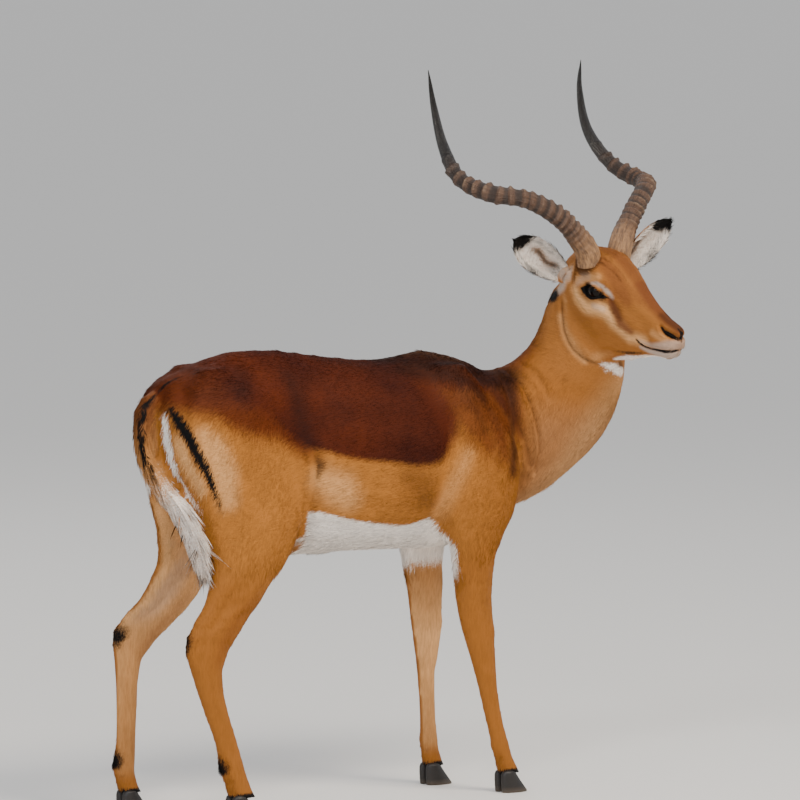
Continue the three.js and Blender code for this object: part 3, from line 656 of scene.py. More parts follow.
BODY_DARK = [
    ([(120, 0, 866, 26), (170, 10, 858, 34), (221, 20, 860, 38), (290, 24, 846, 42), (340, 28, 832, 40),
      (385, 30, 815, 30)], 30, 0.9),
    ([(110, 116, 640, 12), (145, 116, 618, 18), (160, 112, 585, 10)], 34, 0.36),
    ([(345, 40, 815, 24), (378, 45, 805, 22), (380, 62, 775, 11), (376, 80, 735, 6), (366, 100, 694, 5),
      (356, 114, 640, 4)], 20, 0.75),
    ([(250, 84, 800, 5), (272, 98, 765, 6), (290, 108, 720, 3)], 14, 0.35),
    ([(330, 62, 815, 14), (350, 76, 785, 14), (364, 84, 755, 8)], 22, 0.55),
    ([(140, 40, 850, 16), (180, 52, 842, 18), (236, 66, 838, 20), (272, 80, 818, 15), (300, 92, 784, 8)],
     22, 0.75),
    ([(-20, 20, 868, 16), (60, 20, 858, 20), (120, 30, 850, 20)], 30, 0.4),
    ([(300, 86, 780, 5), (322, 96, 735, 5), (332, 104, 690, 2)], 11, 0.42),
    ([(400, -6, 834, 8), (455, -10, 870, 10), (480, -20, 930, 8), (488, -30, 990, 5)], 18, 0.75),
    ([(-92, 110, 688, 3), (-84, 110, 672, 8), (-92, 109, 650, 5)], 7, 0.75),
    # Painted shade in the fold of the flank.
    ([(-100, 109, 696, 2), (-95, 109, 662, 2), (-97, 107, 623, 2), (-101, 95, 584, 1)], 5, 0.45),
    ([(-132, 67, 844, 8), (-125, 92, 779, 14), (-112, 106, 720, 6)], 24, 0.5),
    ([(-237, 53, 868, 8), (-252, 96, 830, 10)], 22, 0.35),
    # Painted shadow on the inside of the hind thigh, behind the tail.
    ([(-335, 38, 570, 10), (-330, 46, 530, 6), (-322, 56, 500, 2)], 14, 0.3),
    # Painted shadow between the tail and the white of the buttock.
    ([(-410, 33, 786, 1), (-408, 37, 735, 2), (-403, 39, 693, 2), (-393, 44, 656, 2), (-376, 55, 624, 1)],
     4, 1.0),
]
BODY_PALE = [
    # Painted highlight on the thigh.
    ([(-350, 104, 745, 8), (-330, 112, 715, 18), (-310, 114, 670, 20), (-300, 112, 620, 12)], 26, 0.6),
    ([(-392, 74, 735, 8), (-376, 84, 690, 9), (-352, 98, 640, 8)], 12, 0.7),
    ([(-80, 110, 645, 16), (-40, 112, 620, 26), (-20, 110, 600, 16)], 34, 0.55),
    ([(250, 114, 680, 3), (228, 116, 640, 8), (208, 112, 600, 9), (192, 102, 560, 8)], 24, 0.32),
]


def soft_sum(places, patches):
    """The strongest of some soft patches at each place."""
    made = np.zeros(len(places))
    for path, softness, strength in patches:
        path = [p + (0,) if len(p) == 3 else p for p in path]
        made = np.maximum(made, strength * ramp(-softness, softness * 0.5, stroke(places, path)))
    return made


def sharp(places, bands):
    """The deepest of some sharp bands, as a share of how soft their edges are."""
    return np.max([stroke(places, path) / softness for path, softness in bands], axis=0)


# Marks are laid out on the hide as it was before it was carved, mostly with its two sides folded on to one.
at = places_of(hide.data)
facing = normals_of(hide.data)
raw = body_to_head(at)
local = folded(body_to_head(plain_at))
both = folded(plain_at)
x, y, z = both.T
on_head = in_head(at)
leg_ahead, leg_out = leg_shares(at)
facing_in = np.where(z < 640, -facing[:, 1] * np.sign(at[:, 1]), -1) + ramp(600, 640, z) * -0.5
# On the ears: how near the root, how far inside, how near the rim, and which way across each place is.
ear_near, ear_share, ear_inside, ear_edge, ear_turn = (np.zeros(len(at)) for _ in range(5))
for ear in EARS.values():
    along, opening, across = ear_axes(ear)
    offset = raw - np.array(ear["root"])
    share = 1 - offset @ along / EAR_LENGTH
    sideways = offset @ across / (EAR_WIDTH / 2 * np.interp(share, *EAR_SHAPE))
    from_skull = np.linalg.norm((raw - (-30, 0, -10)) / (62, 62, 84), axis=1)
    mine = (share < 0.93) & (share > -0.05) & (np.abs(offset @ opening) < 44) & (np.abs(sideways) < 1.3)
    mine &= (from_skull > 1) & (np.sign(raw[:, 1]) == np.sign(ear["root"][1]))
    mine &= stroke(raw, [(-22, math.copysign(42, ear["root"][1]), 40, 27),
                         (-56, math.copysign(107, ear["root"][1]), 121, 20)]) < 0
    ear_near[mine] = 1
    ear_share[mine] = share[mine]
    ear_inside[mine] = ramp(-0.15, 0.15, facing[mine] @ (head_turn @ opening))
    ear_edge[mine] = np.abs(sideways[mine])
    ear_turn[mine] = (sideways * np.sign(across[2]))[mine]
on_ear = ear_near > 0
tail_in = stroke(at, TAIL_LINE)
thigh_back = np.interp(z, [480, 560, 640, 700, 830], [-325, -345, -380, -408, -400])
on_tail = (tail_in > -34) & (at[:, 0] < thigh_back)
on_tail &= (tail_in > -22) | (np.abs(at[:, 1]) < 22) & (z > 640)
on_tail &= z < 830

marks = {}
saddle_sides = z - np.interp(x, *SADDLE_EDGE), (np.interp(z, *SADDLE_FRONT) - x) * 0.6
CORNER = 13  # mm over which the saddle's lower front corner is rounded
saddle = -CORNER * np.log(sum(np.exp(-side / CORNER) for side in saddle_sides))
softness = np.interp(x, [-420, -350, -230, -150, -110, 250], [20, 20, 24, 18, 9, 11])
softness = softness + 26 * ramp(730, 800, z) * ramp(100, 200, x)
marks["chestnut"] = np.minimum(saddle / softness, 1.4 - 1.7 * ramp(-210, -370, x))
russet_under = ramp(-34, 12, z - np.interp(x, *RUSSET_EDGE)) * ramp(-60, -130, x)
marks["russet"] = np.maximum.reduce([
    russet_under, soft_sum(both, BODY_RUSSET), soft_sum(local, FACE_RUSSET) * on_head])
marks["rich"] = np.clip(0.85 * ramp(200, 330, x) * (z > 420) + 0.85 * ramp(520, 420, z)
                        + 0.75 * np.exp(-((x - 140) / 60) ** 2 - ((z - 600) / 50) ** 2)
                        + 0.5 * np.exp(-((x + 235) / 50) ** 2 - ((z - 720) / 60) ** 2), 0, 1)
low_neck = ramp(380, 450, x) * ramp(800, 700, z) * (1 - on_head)
marks["rich"] *= 1 - 0.2 * on_head - 0.5 * low_neck
hind = x < -80
# The insides of the legs have paler hair, made paler still by painted light.
inner_hind = np.interp(z, [80, 330, 400], [0.2, 0.5, 0.8])
inner_front = np.interp(z, [80, 300, 430], [0.35, 0.9, 0.35])
pale_and_lit_inner_legs = np.where(hind, inner_hind, inner_front) * ramp(0.1, 0.7, facing_in) * ramp(60, 90, z)
marks["pale"] = np.maximum.reduce([
    soft_sum(local, FACE_PALE) * on_head, soft_sum(plain_at, NECK_PALE), soft_sum(both, BODY_PALE),
    pale_and_lit_inner_legs])
achilles = hind * ramp(0.0, 0.5, facing_in) * ramp(0.06, 0.2, leg_ahead) * ramp(0.62, 0.34, leg_ahead)
achilles = achilles * ramp(350, 400, z) * ramp(545, 505, z)
hock_front = hind * np.exp(-((leg_ahead - 0.74) / 0.2) ** 2) * ramp(270, 320, z) * ramp(450, 390, z)
marks["frost"] = np.maximum(soft_sum(local, FACE_FROST) * on_head, 0.25 * achilles)
marks["russet"] = np.maximum(marks["russet"], 0.3 * hock_front)
horn_foot = -stroke(local, [(-22, 42, 40, 0), (-40, 78, 96, 0)])
marks["dark"] = np.maximum.reduce([
    soft_sum(local, FACE_DARK) * on_head, soft_sum(plain_at, NECK_FOLD_SHADE), soft_sum(both, BODY_DARK),
    0.14 * achilles, 0.75 * on_head * ramp(32, 27, horn_foot)])
greyed = (0.015 * on_head + 0.1 * low_neck) * (1 - marks["dark"].clip(0, 1)) ** 2
marks["frost"] = np.maximum(marks["frost"], greyed)

inward = 50 * facing_in - 6
white = np.minimum.reduce([
    np.interp(x, *BELLY_EDGE) - z,
    np.maximum.reduce([x - np.interp(z, *THIGH_EDGE), 62 - y, inward]),
    np.maximum.reduce([np.interp(z, *ELBOW_EDGE) - x, 52 - y, inward]),
    (x + 290) / 2,
]) / 3.5
arm_pit = np.where(x > 150, np.minimum(inward, 585 - z), -20) / 3.5
white = np.minimum(np.maximum(white, arm_pit), np.where(hind, z - 520, z - 445) / 12)
breast = np.minimum.reduce([512 - z, z - 450, 310 - x, x - 170, 60 - y]) / 5
white = np.maximum.reduce([white, breast, sharp(both, [(WHITE_RUMP, 2.4)])])
white = np.maximum(white - 8 * ramp(0.3, 0.7, on_head), np.minimum(sharp(local, FACE_WHITE), 0.6))
black = np.maximum(sharp(both, [(BUTTOCK_STRIPE, 3)]), sharp(plain_at, [(TAIL_STRIPE, 2.2)]) + 0.2)
black = np.maximum(black, sharp(local, FACE_BLACK) - 8 * ramp(0.5, 0.2, on_head))
# The black skin round the eye is an almond that tapers into the tear groove.
from_middle = local[:, 0] - 7
lengthwise = np.clip(from_middle / np.where(from_middle < 0, 30, 39), -1, 1)
droop = np.where(from_middle < 0, 0.03, 0.13) * from_middle
tapered = np.where(lengthwise < 0, 1 - np.abs(lengthwise) ** 1.9, (1 - np.abs(lengthwise)) ** 1.15)
almond = 15.5 * tapered - np.abs(local[:, 2] + 9.5 + droop)
almond = np.maximum(almond, 1.6 - opening_edge(local))
black = np.maximum(black, np.where(np.linalg.norm(local - (10, 60, -6), axis=1) < 46, almond / 1.4, -9))
under_ear = np.linalg.norm((local - (-104, 44, -43)) / (19, 20, 13), axis=1)
black = np.maximum(black, (1 - under_ear) * 3)
gland = 1.6 - ((z - 106) / 20) ** 2 * 2 - 7 * leg_ahead
heel_tuft = 2.2 - ((z - 345) / 26) ** 2 * 1.5 - 11 * leg_ahead - 2.6 * leg_out
black = np.maximum(black, np.where(hind & (z < 400), np.maximum(gland, heel_tuft), -9))
black = np.maximum(black, (47 - z) / 3)

# Inside the ear the hair is white, with painted shade as a brown streak down the hollow, darker still deep in
# the hollow, and thin dark lines beside it.
hollow_shade = ear_inside * np.exp(-((ear_turn - 0.12 - 0.09 * np.sin(ear_share * 16)) / 0.19) ** 2)
hollow_shade *= ramp(0.28, 0.5, ear_share) * ramp(0.92, 0.8, ear_share)
lines = 0.74 * np.exp(-((ear_edge - 0.62 - 0.06 * np.sin(ear_share * 19)) / 0.07) ** 2)
lines *= ear_inside * ramp(0.08, 0.3, ear_share) * ramp(0.88, 0.6, ear_share)
ear_marks = {
    "chestnut": -5, "russet": 0.15 * ear_inside, "rich": 0.6, "pale": 0.35 * ear_inside,
    "dark": 0.95 * hollow_shade, "frost": 0.7 * ear_inside * (1 - 0.9 * hollow_shade),
}
for name, value in ear_marks.items():
    marks[name] = np.where(on_ear, value, marks[name])
bare_band = np.exp(-((ear_edge - 0.3) / 0.22) ** 2) * ramp(0.9, 0.7, ear_share)
inner_white = 0.6 - 1.5 * hollow_shade - 0.5 * bare_band
white = np.where(on_ear, np.minimum((ear_inside - 0.4) * 6, inner_white), white)
rim = np.exp(-((ear_edge - 1) / 0.1) ** 2) * ramp(0.75, 0.35, ear_share) * ramp(-0.2, 0.3, ear_turn)
low_spot = np.exp(-((ear_edge - 0.95) / 0.3) ** 2 - ((ear_share - 0.55) / 0.12) ** 2)
low_spot *= ramp(0.1, -0.3, ear_turn)
# Painted shade deep in the hollow near the root.
hollow = ear_inside * ramp(0.6, 0.85, ear_share) * ramp(0.6, 0.3, ear_edge)
tip = (0.29 - 0.1 * ramp(0.3, -0.6, ear_turn) - ear_share) / 0.04
ear_black = np.maximum(tip, -1.1 + np.maximum.reduce([1.75 * lines, 2.6 * rim, 2.2 * low_spot, 1.1 * hollow]))
black = np.where(on_ear, ear_black, black)

tail_middle = np.interp(z, [495, 583, 680, 730], [-82, -62, -12, 0])
tail_side = np.abs(at[:, 1] - tail_middle)
tail_marks = {
    "chestnut": -5, "russet": 0.85 * ramp(690, 800, z), "rich": 0.5, "pale": 0.3, "dark": 0, "frost": 0,
}
for name, value in tail_marks.items():
    marks[name] = np.where(on_tail, value, marks[name])
tail_white = np.maximum((650 - z) / 40, (tail_side - 19) / 4 - 3 * ramp(670, 720, z))
white = np.where(on_tail, np.minimum(tail_white, 0.4), white)
marks["white"], marks["black"] = white, black
marks["on_leg"] = ramp(560, 470, z)
marks["on_neck"] = ramp(300, 420, x) * (1 - on_head)
marks["on_head"] = np.where(on_ear, 0.0, on_head)

for name, values in marks.items():
    layer = hide.data.attributes.new(name, "FLOAT", "POINT")
    layer.data.foreach_set("value", np.ascontiguousarray(values, np.float32))


def node(tree, kind, links=(), **settings):
    """Adds a node. Settings are its properties, or its inputs where the name is i and a number."""
    made = tree.nodes.new("ShaderNode" + kind)
    for name, value in settings.items():
        if name[0] == "i" and name[1:].isdigit():
            made.inputs[int(name[1:])].default_value = value
        else:
            setattr(made, name, value)
    for source, socket in links:
        tree.links.new(source, made.inputs[socket])
    return made


# Short, glossy summer hair: smooth light on the mass of the coat, broken by fine streaks along its lie. A
# streak of hairs is drawn 3 mm wide, which is as coarse as it needs to be to show.
HAIR = {
    "tan": "A6692C", "rich": "905822", "pale": "DEA76E", "russet": "5A2607", "chestnut": "451503",
    "dark": "200A04", "frost": "B9A99B", "white": "F0E6DB", "black": "0A0807",
}
SADDLE_HAIR, SADDLE_SHADE = "521E05", "330D02"  # the saddle is blotched with these
STREAK = (0.022, 0.0032, 0.0032)  # length and width in metres
CLUMP, LOCK, BLOTCH = 0.0455, 0.003125, 0.143  # metres across
coat = bpy.data.materials.new("short_glossy_hair")
coat.use_nodes = True
tree = coat.node_tree
shader = tree.nodes["Principled BSDF"]
object_at = node(tree, "TexCoord").outputs["Object"]
lies = {
    "body": (0, math.radians(-10), 0),
    "on_leg": (0, math.radians(-88), 0),
    "on_neck": (0, math.radians(-62), math.radians(-35)),
    "on_head": tuple(math.radians(a) for a in (HEAD_ROLL, HEAD_PITCH, HEAD_YAW)),
}
streaks = None
for name, turn in lies.items():
    laid = node(tree, "Mapping", [(object_at, "Vector")], vector_type="TEXTURE", i2=turn, i3=STREAK)
    fibre = node(tree, "TexNoise", [(laid.outputs[0], "Vector")], i2=1, i3=3, i4=0.6).outputs["Fac"]
    if streaks is None:
        streaks = fibre
    else:
        there = node(tree, "Attribute", attribute_name=name).outputs["Fac"]
        streaks = node(tree, "Mix", [(there, 0), (streaks, 2), (fibre, 3)]).outputs[0]
clumps = node(tree, "TexNoise", [(object_at, "Vector")], i2=1 / CLUMP, i3=3, i4=0.55).outputs["Fac"]
locks = node(tree, "TexNoise", [(object_at, "Vector")], i2=1 / LOCK, i3=2, i4=0.6).outputs["Fac"]
by_lock = node(tree, "MapRange", [(locks, 0)], clamp=False, i3=-1.1, i4=1.1).outputs[0]
by_streak = node(tree, "MapRange", [(streaks, 0)], clamp=False, i3=-0.8, i4=0.8).outputs[0]
wander = node(tree, "Math", [(by_lock, 0), (by_streak, 1)], operation="ADD").outputs[0]

blotches = node(tree, "TexNoise", [(object_at, "Vector")], i2=1 / BLOTCH, i3=2, i4=0.5).outputs["Fac"]
blotched = node(tree, "Math", [(streaks, 0), (blotches, 2)], operation="MULTIPLY_ADD", i1=0.35)
darker = node(tree, "MapRange", [(blotched.outputs[0], 0)], i1=0.5, i2=0.85)
saddle_colour = node(tree, "Mix", [(darker.outputs[0], 0)], data_type="RGBA", i6=from_hex(SADDLE_HAIR),
                     i7=from_hex(SADDLE_SHADE))
colour = node(tree, "RGB").outputs[0]
colour.default_value = from_hex(HAIR["tan"])
for name in ("rich", "pale", "russet", "chestnut", "dark", "frost", "white", "black"):
    amount = node(tree, "Attribute", attribute_name=name).outputs["Fac"]
    if name in ("chestnut", "white", "black"):
        ragged = node(tree, "Math", [(wander, 0), (amount, 2)], operation="MULTIPLY_ADD",
                      i1=0.45 if name == "chestnut" else 1.0)
        amount = node(tree, "MapRange", [(ragged.outputs[0], 0)], interpolation_type="SMOOTHSTEP",
                      i1=-1, i2=1).outputs[0]
    elif name in ("dark", "pale"):
        thinned = node(tree, "MapRange", [(streaks, 0)], clamp=False, i3=0.65, i4=1.35).outputs[0]
        thin = node(tree, "Math", [(amount, 0), (thinned, 1)], operation="MULTIPLY", use_clamp=True)
        amount = thin.outputs[0]
    layer = node(tree, "Mix", [(amount, 0), (colour, 6)], data_type="RGBA", i7=from_hex(HAIR[name]))
    if name == "chestnut":
        tree.links.new(saddle_colour.outputs[2], layer.inputs[7])
    colour = layer.outputs[2]
tone = node(tree, "Attribute", attribute_name="tone").outputs["Fac"]
bright = node(tree, "MapRange", [(streaks, 0)], clamp=False, i3=0.62, i4=1.04).outputs[0]
bright = node(tree, "Math", [(clumps, 0), (bright, 2)], operation="MULTIPLY_ADD", i1=0.34).outputs[0]
bright = node(tree, "Math", [(tone, 0), (bright, 2)], operation="MULTIPLY_ADD", i1=0.13).outputs[0]
grey = node(tree, "CombineColor", [(bright, 0), (bright, 1), (bright, 2)]).outputs[0]
toned = node(tree, "Mix", [(colour, 6), (grey, 7)], data_type="RGBA", blend_type="MULTIPLY", i0=1)
tree.links.new(toned.outputs[2], shader.inputs["Base Color"])
rough = node(tree, "MapRange", [(streaks, 0)], i3=0.75, i4=0.55).outputs[0]
tree.links.new(rough, shader.inputs["Roughness"])
shader.inputs["Specular IOR Level"].default_value = 0.12
bump = node(tree, "Bump", [(streaks, "Height")], i0=0.45, i1=0.0022)
tree.links.new(bump.outputs[0], shader.inputs["Normal"])
hide.data.materials.append(coat)
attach(hide, "root")
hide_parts(*FLESH, "ear_left", "ear_right")

# ---- The eyes ------------------------------------------------------------------------------------------
# Large wet eyeballs, set back between the lids. The iris is so dark a brown that the long level pupil
# hardly shows in it, and the clear wet cornea gives it a smooth shine.
PUPIL = (7.0, 3.4)  # half its length and height
EYEBALL_SHARE = 0.985  # of the socket's radius, so that the lids clear it
eye = bpy.data.materials.new("wet_eyeball")
eye.use_nodes = True
tree = eye.node_tree
shader = tree.nodes["Principled BSDF"]
off_axis = node(tree, "Attribute", attribute_name="off_axis").outputs["Fac"]
off_pupil = node(tree, "Attribute", attribute_name="off_pupil").outputs["Fac"]
outer_iris = node(tree, "MapRange", [(off_axis, 0)], i1=3, i2=11).outputs[0]
iris = node(tree, "Mix", [(outer_iris, 0)], data_type="RGBA", i6=from_hex("080403"), i7=from_hex("120A06"))
pupil = node(tree, "MapRange", [(off_pupil, 0)], i1=0.8, i2=1.1)
seen = node(tree, "Mix", [(pupil.outputs[0], 0), (iris.outputs[2], 7)], data_type="RGBA",
            i6=from_hex("040303"))
white_of_eye = node(tree, "MapRange", [(off_axis, 0)], i1=13, i2=15)
whole = node(tree, "Mix", [(white_of_eye.outputs[0], 0), (seen.outputs[2], 6)], data_type="RGBA",
             i7=from_hex("1A100C"))
tree.links.new(whole.outputs[2], shader.inputs["Base Color"])
shader.inputs["Roughness"].default_value = 0.04
shader.inputs["Specular IOR Level"].default_value = 0.15

for name, side in (("left", 1), ("right", -1)):
    middle = EYEBALL_AT * (1, side, 1)
    outward = np.array([0.12, side, 0.02]) / np.linalg.norm([0.12, side, 0.02])
    ball_mesh = bmesh.new()
    bmesh.ops.create_icosphere(ball_mesh, subdivisions=5, radius=EYEBALL_RADIUS)
    off, pupil_off = [], []
    for vertex in ball_mesh.verts:
        spot = np.array(vertex.co)
        axis_part = spot @ outward
        wide = np.linalg.norm(spot - axis_part * outward) if axis_part > 0 else 30.0
        off.append(wide)
        pupil_off.append(math.hypot(spot[0] / PUPIL[0], spot[2] / PUPIL[1]) if axis_part > 0 else 9.0)
        vertex.co = body_to_world(head_to_body(middle + spot * EYEBALL_SHARE))
    eyeball = mesh_object("eyeball_" + name, ball_mesh)
    for label, values in (("off_axis", off), ("off_pupil", pupil_off)):
        layer = eyeball.data.attributes.new(label, "FLOAT", "POINT")
        layer.data.foreach_set("value", np.array(values, np.float32))
    for polygon in eyeball.data.polygons:
        polygon.use_smooth = True
    eyeball.data.materials.append(eye)
    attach(eyeball, "root")
    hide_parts("eye_" + name)

# ---- The horns -----------------------------------------------------------------------------------------
# Hollow horn on a bony core: up and out, back, then up to a point. Raised rings cross the lower part, most
# on the front, and the last third is smooth, dark and polished by use.
HORN_LINES = {
    "left": [(-22, 40, 40), (-26, 50, 72), (-56, 107, 121), (-84, 171, 161), (-142, 225, 162),
             (-221, 228, 176), (-280, 210, 234), (-312, 207, 312), (-340, 233, 364)],
    "right": [(-22, -44, 40), (-25, -54, 68), (-50, -105, 123), (-83, -169, 161), (-142, -224, 167),
              (-221, -229, 179), (-286, -214, 228), (-325, -212, 300), (-335, -230, 372)],
}
HORN_RADIUS = ([0, 0.08, 0.16, 0.34, 0.54, 0.66, 0.76, 0.86, 0.95, 1],
               [24.5, 23, 19.5, 18, 16.8, 13.5, 10, 7, 3.6, 0.6])
HORN_RINGS, HORN_SIDES, HORN_STEPS = 20, 44, 400
RING_HEIGHT = 5.2
VALLEY = 0.25  # share of a ring's height that the horn sinks between rings
FIBRE_LENGTH, FIBRES_ROUND = 26, 5  # mm, and widths in a radius: about 4 mm each
STAIN = 0.0222  # metres across


def centripetal(points, steps):
    """Evenly spaced places on the smooth centripetal curve through some points."""
    points = np.array(points, float)
    points = np.vstack([2 * points[0] - points[1], points, 2 * points[-1] - points[-2]])
    made = []
    for p0, p1, p2, p3 in zip(points, points[1:], points[2:], points[3:]):
        d0, d1, d2 = (np.linalg.norm(b - a) ** 0.5 for a, b in ((p0, p1), (p1, p2), (p2, p3)))
        leave = ((p1 - p0) / d0 - (p2 - p0) / (d0 + d1) + (p2 - p1) / d1) * d1
        arrive = ((p2 - p1) / d1 - (p3 - p1) / (d1 + d2) + (p3 - p2) / d2) * d1
        for t in np.linspace(0, 1, 60, endpoint=False):
            made.append((2 * t**3 - 3 * t**2 + 1) * p1 + (t**3 - 2 * t**2 + t) * leave
                        + (3 * t**2 - 2 * t**3) * p2 + (t**3 - t**2) * arrive)
    made = np.array(made + [points[-2]])
    run = np.append(0, np.cumsum(np.linalg.norm(np.diff(made, axis=0), axis=1)))
    return np.stack([np.interp(np.linspace(0, run[-1], steps), run, column) for column in made.T], 1), run[-1]


horn_matter = bpy.data.materials.new("ringed_horn")
horn_matter.use_nodes = True
tree = horn_matter.node_tree
shader = tree.nodes["Principled BSDF"]
along_horn = node(tree, "Attribute", attribute_name="along").outputs["Fac"]
crest = node(tree, "Attribute", attribute_name="crest").outputs["Fac"]
grain_at = node(tree, "Attribute", attribute_name="grain").outputs["Vector"]
object_at = node(tree, "TexCoord").outputs["Object"]
fibres = node(tree, "TexNoise", [(grain_at, "Vector")], i2=1, i3=4, i4=0.65).outputs["Fac"]
stains = node(tree, "TexNoise", [(object_at, "Vector")], i2=1 / STAIN, i3=4, i4=0.6).outputs["Fac"]
body_horn = node(tree, "Mix", [(fibres, 0)], data_type="RGBA", i6=from_hex("1C110B"), i7=from_hex("775640"))
# Rubbed brown with a painted highlight on the crests, painted shade in the valleys, fibrous and pale at the
# base, black and bright at the tip.
lit_worn_crests = node(tree, "MapRange", [(crest, 0)], i1=0.35, i2=0.9).outputs[0]
rubbed = node(tree, "MapRange", [(stains, 0)], i1=0.42, i2=0.6).outputs[0]
lit_worn_crests = node(tree, "Math", [(lit_worn_crests, 0), (rubbed, 1)], operation="MULTIPLY").outputs[0]
valley_shade = node(tree, "MapRange", [(crest, 0)], i1=-0.02, i2=-VALLEY, i4=0.75).outputs[0]
base = node(tree, "MapRange", [(along_horn, 0)], interpolation_type="SMOOTHSTEP", i1=0.17, i2=0.02).outputs[0]
streaky = node(tree, "MapRange", [(fibres, 0)], i1=0.38, i2=0.62, i3=0.2, i4=0.85).outputs[0]
base = node(tree, "Math", [(base, 0), (streaky, 1)], operation="MULTIPLY").outputs[0]
uneven = node(tree, "Math", [(stains, 0), (along_horn, 2)], operation="MULTIPLY_ADD", i1=0.06).outputs[0]
tip = node(tree, "MapRange", [(uneven, 0)], interpolation_type="SMOOTHSTEP", i1=0.56, i2=0.74).outputs[0]
for amount, shade in ((lit_worn_crests, "7F664E"), (valley_shade, "150E0A"), (base, "B4875A"), (tip, "17110D")):
    body_horn = node(tree, "Mix", [(amount, 0), (body_horn.outputs[2], 6)], data_type="RGBA",
                     i7=from_hex(shade))
tree.links.new(body_horn.outputs[2], shader.inputs["Base Color"])
polish = node(tree, "MapRange", [(tip, 0)], i3=0.6, i4=0.27)
tree.links.new(polish.outputs[0], shader.inputs["Roughness"])
rough_grain = node(tree, "Math", [(stains, 0), (fibres, 2)], operation="MULTIPLY_ADD", i1=0.8)
relief = node(tree, "Bump", [(rough_grain.outputs[0], "Height")], i0=1.0, i1=0.006)
tree.links.new(relief.outputs[0], shader.inputs["Normal"])

rings_random = np.random.default_rng(4)
for name, line in HORN_LINES.items():
    centres, horn_length = centripetal(line, HORN_STEPS + 1)
    ahead = np.gradient(centres, axis=0)
    ahead /= np.linalg.norm(ahead, axis=1)[:, None]
    front = np.array([1.0, 0, 0.25])
    fronts = []
    for direction in ahead:
        front = front - front @ direction * direction
        front /= np.linalg.norm(front)
        fronts.append(front)
    fronts = np.array(fronts)
    lefts = np.cross(ahead, fronts)
    gaps = np.linspace(0.6, 1.5, HORN_RINGS) * rings_random.uniform(0.85, 1.15, HORN_RINGS)
    ring_at = 0.03 + 0.66 * np.cumsum(gaps) / gaps.sum()
    ring_high = rings_random.uniform(0.65, 1.15, HORN_RINGS)
    ring_turn = rings_random.normal(0, 0.35, HORN_RINGS)
    horn_mesh = bmesh.new()
    bmesh.ops.create_grid(horn_mesh, x_segments=HORN_STEPS, y_segments=HORN_SIDES, size=0.5)
    uv = np.array([v.co[:2] for v in horn_mesh.verts]) + 0.5
    share, angle = uv[:, 0], uv[:, 1] * 2 * math.pi
    step = np.rint(share * HORN_STEPS).astype(int)
    crest_height = np.full(len(share), -VALLEY)
    for spot, high, turn in zip(ring_at, ring_high, ring_turn):
        slanted = share - spot - 0.004 * np.sin(angle + turn * 3)
        shape = np.exp(-(slanted / np.where(slanted > 0, 0.0045, 0.0105)) ** 2) * high
        shape *= 1 + 0.28 * np.sin(4 * angle + 20 * turn) * np.sin(7 * angle + 30 * high)
        on_front = 0.3 + 0.7 * ramp(-0.5, 0.85, np.cos(angle - turn))
        crest_height = np.maximum(crest_height, shape * on_front - VALLEY)
    strength = ramp(0.02, 0.15, share) * ramp(0.74, 0.6, share) * (0.75 + 0.25 * ramp(0.05, 0.2, share))
    flutes = 0.35 * np.sin(angle * 9 + 2 * np.sin(share * 40)) * ramp(0.7, 0.5, share)
    thick = np.interp(share, *HORN_RADIUS) + RING_HEIGHT * crest_height * strength + flutes
    thick += 0.8 * np.sin(share * 31 + 2 * np.cos(angle)) * ramp(0.75, 0.5, share)
    spots = centres[step] + thick[:, None] * (
        np.cos(angle)[:, None] * fronts[step] + np.sin(angle)[:, None] * lefts[step])
    for vertex, point in zip(horn_mesh.verts, body_to_world(head_to_body(spots))):
        vertex.co = point
    layers = {key: horn_mesh.verts.layers.float.new(key) for key in ("along", "crest")}
    grain = horn_mesh.verts.layers.float_vector.new("grain")
    crest_value = crest_height * strength
    grain_runs = (share * horn_length / FIBRE_LENGTH, np.cos(angle) * FIBRES_ROUND,
                  np.sin(angle) * FIBRES_ROUND)
    for i, vertex in enumerate(horn_mesh.verts):
        vertex[layers["along"]] = share[i]
        vertex[layers["crest"]] = crest_value[i]
        vertex[grain] = [run[i] for run in grain_runs]
    bmesh.ops.remove_doubles(horn_mesh, verts=horn_mesh.verts, dist=0.00002)
    bmesh.ops.holes_fill(horn_mesh, edges=[e for e in horn_mesh.edges if e.is_boundary], sides=0)
    bmesh.ops.recalc_face_normals(horn_mesh, faces=horn_mesh.faces)
    horn = mesh_object("ringed_horn_" + name, horn_mesh)
    for polygon in horn.data.polygons:
        polygon.use_smooth = True
    horn.data.materials.append(horn_matter)
    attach(horn, "root")
    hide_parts("horn_" + name)

# ---- The hooves ----------------------------------------------------------------------------------------
# Each foot stands on two narrow claws of black horn, flat below, worn at the toe and faintly ringed.
HOOF_HEIGHT, CLAW_FROM_MIDDLE = 44.0, 11.5
# Each foot's middle from side to side, and its heel.
FEET = {
    "front_left": (84.5, 272), "front_right": (-84.5, 338),
    "hind_left": (90, -424), "hind_right": (-90, -287),
}
SCUFF = 0.00625  # metres across
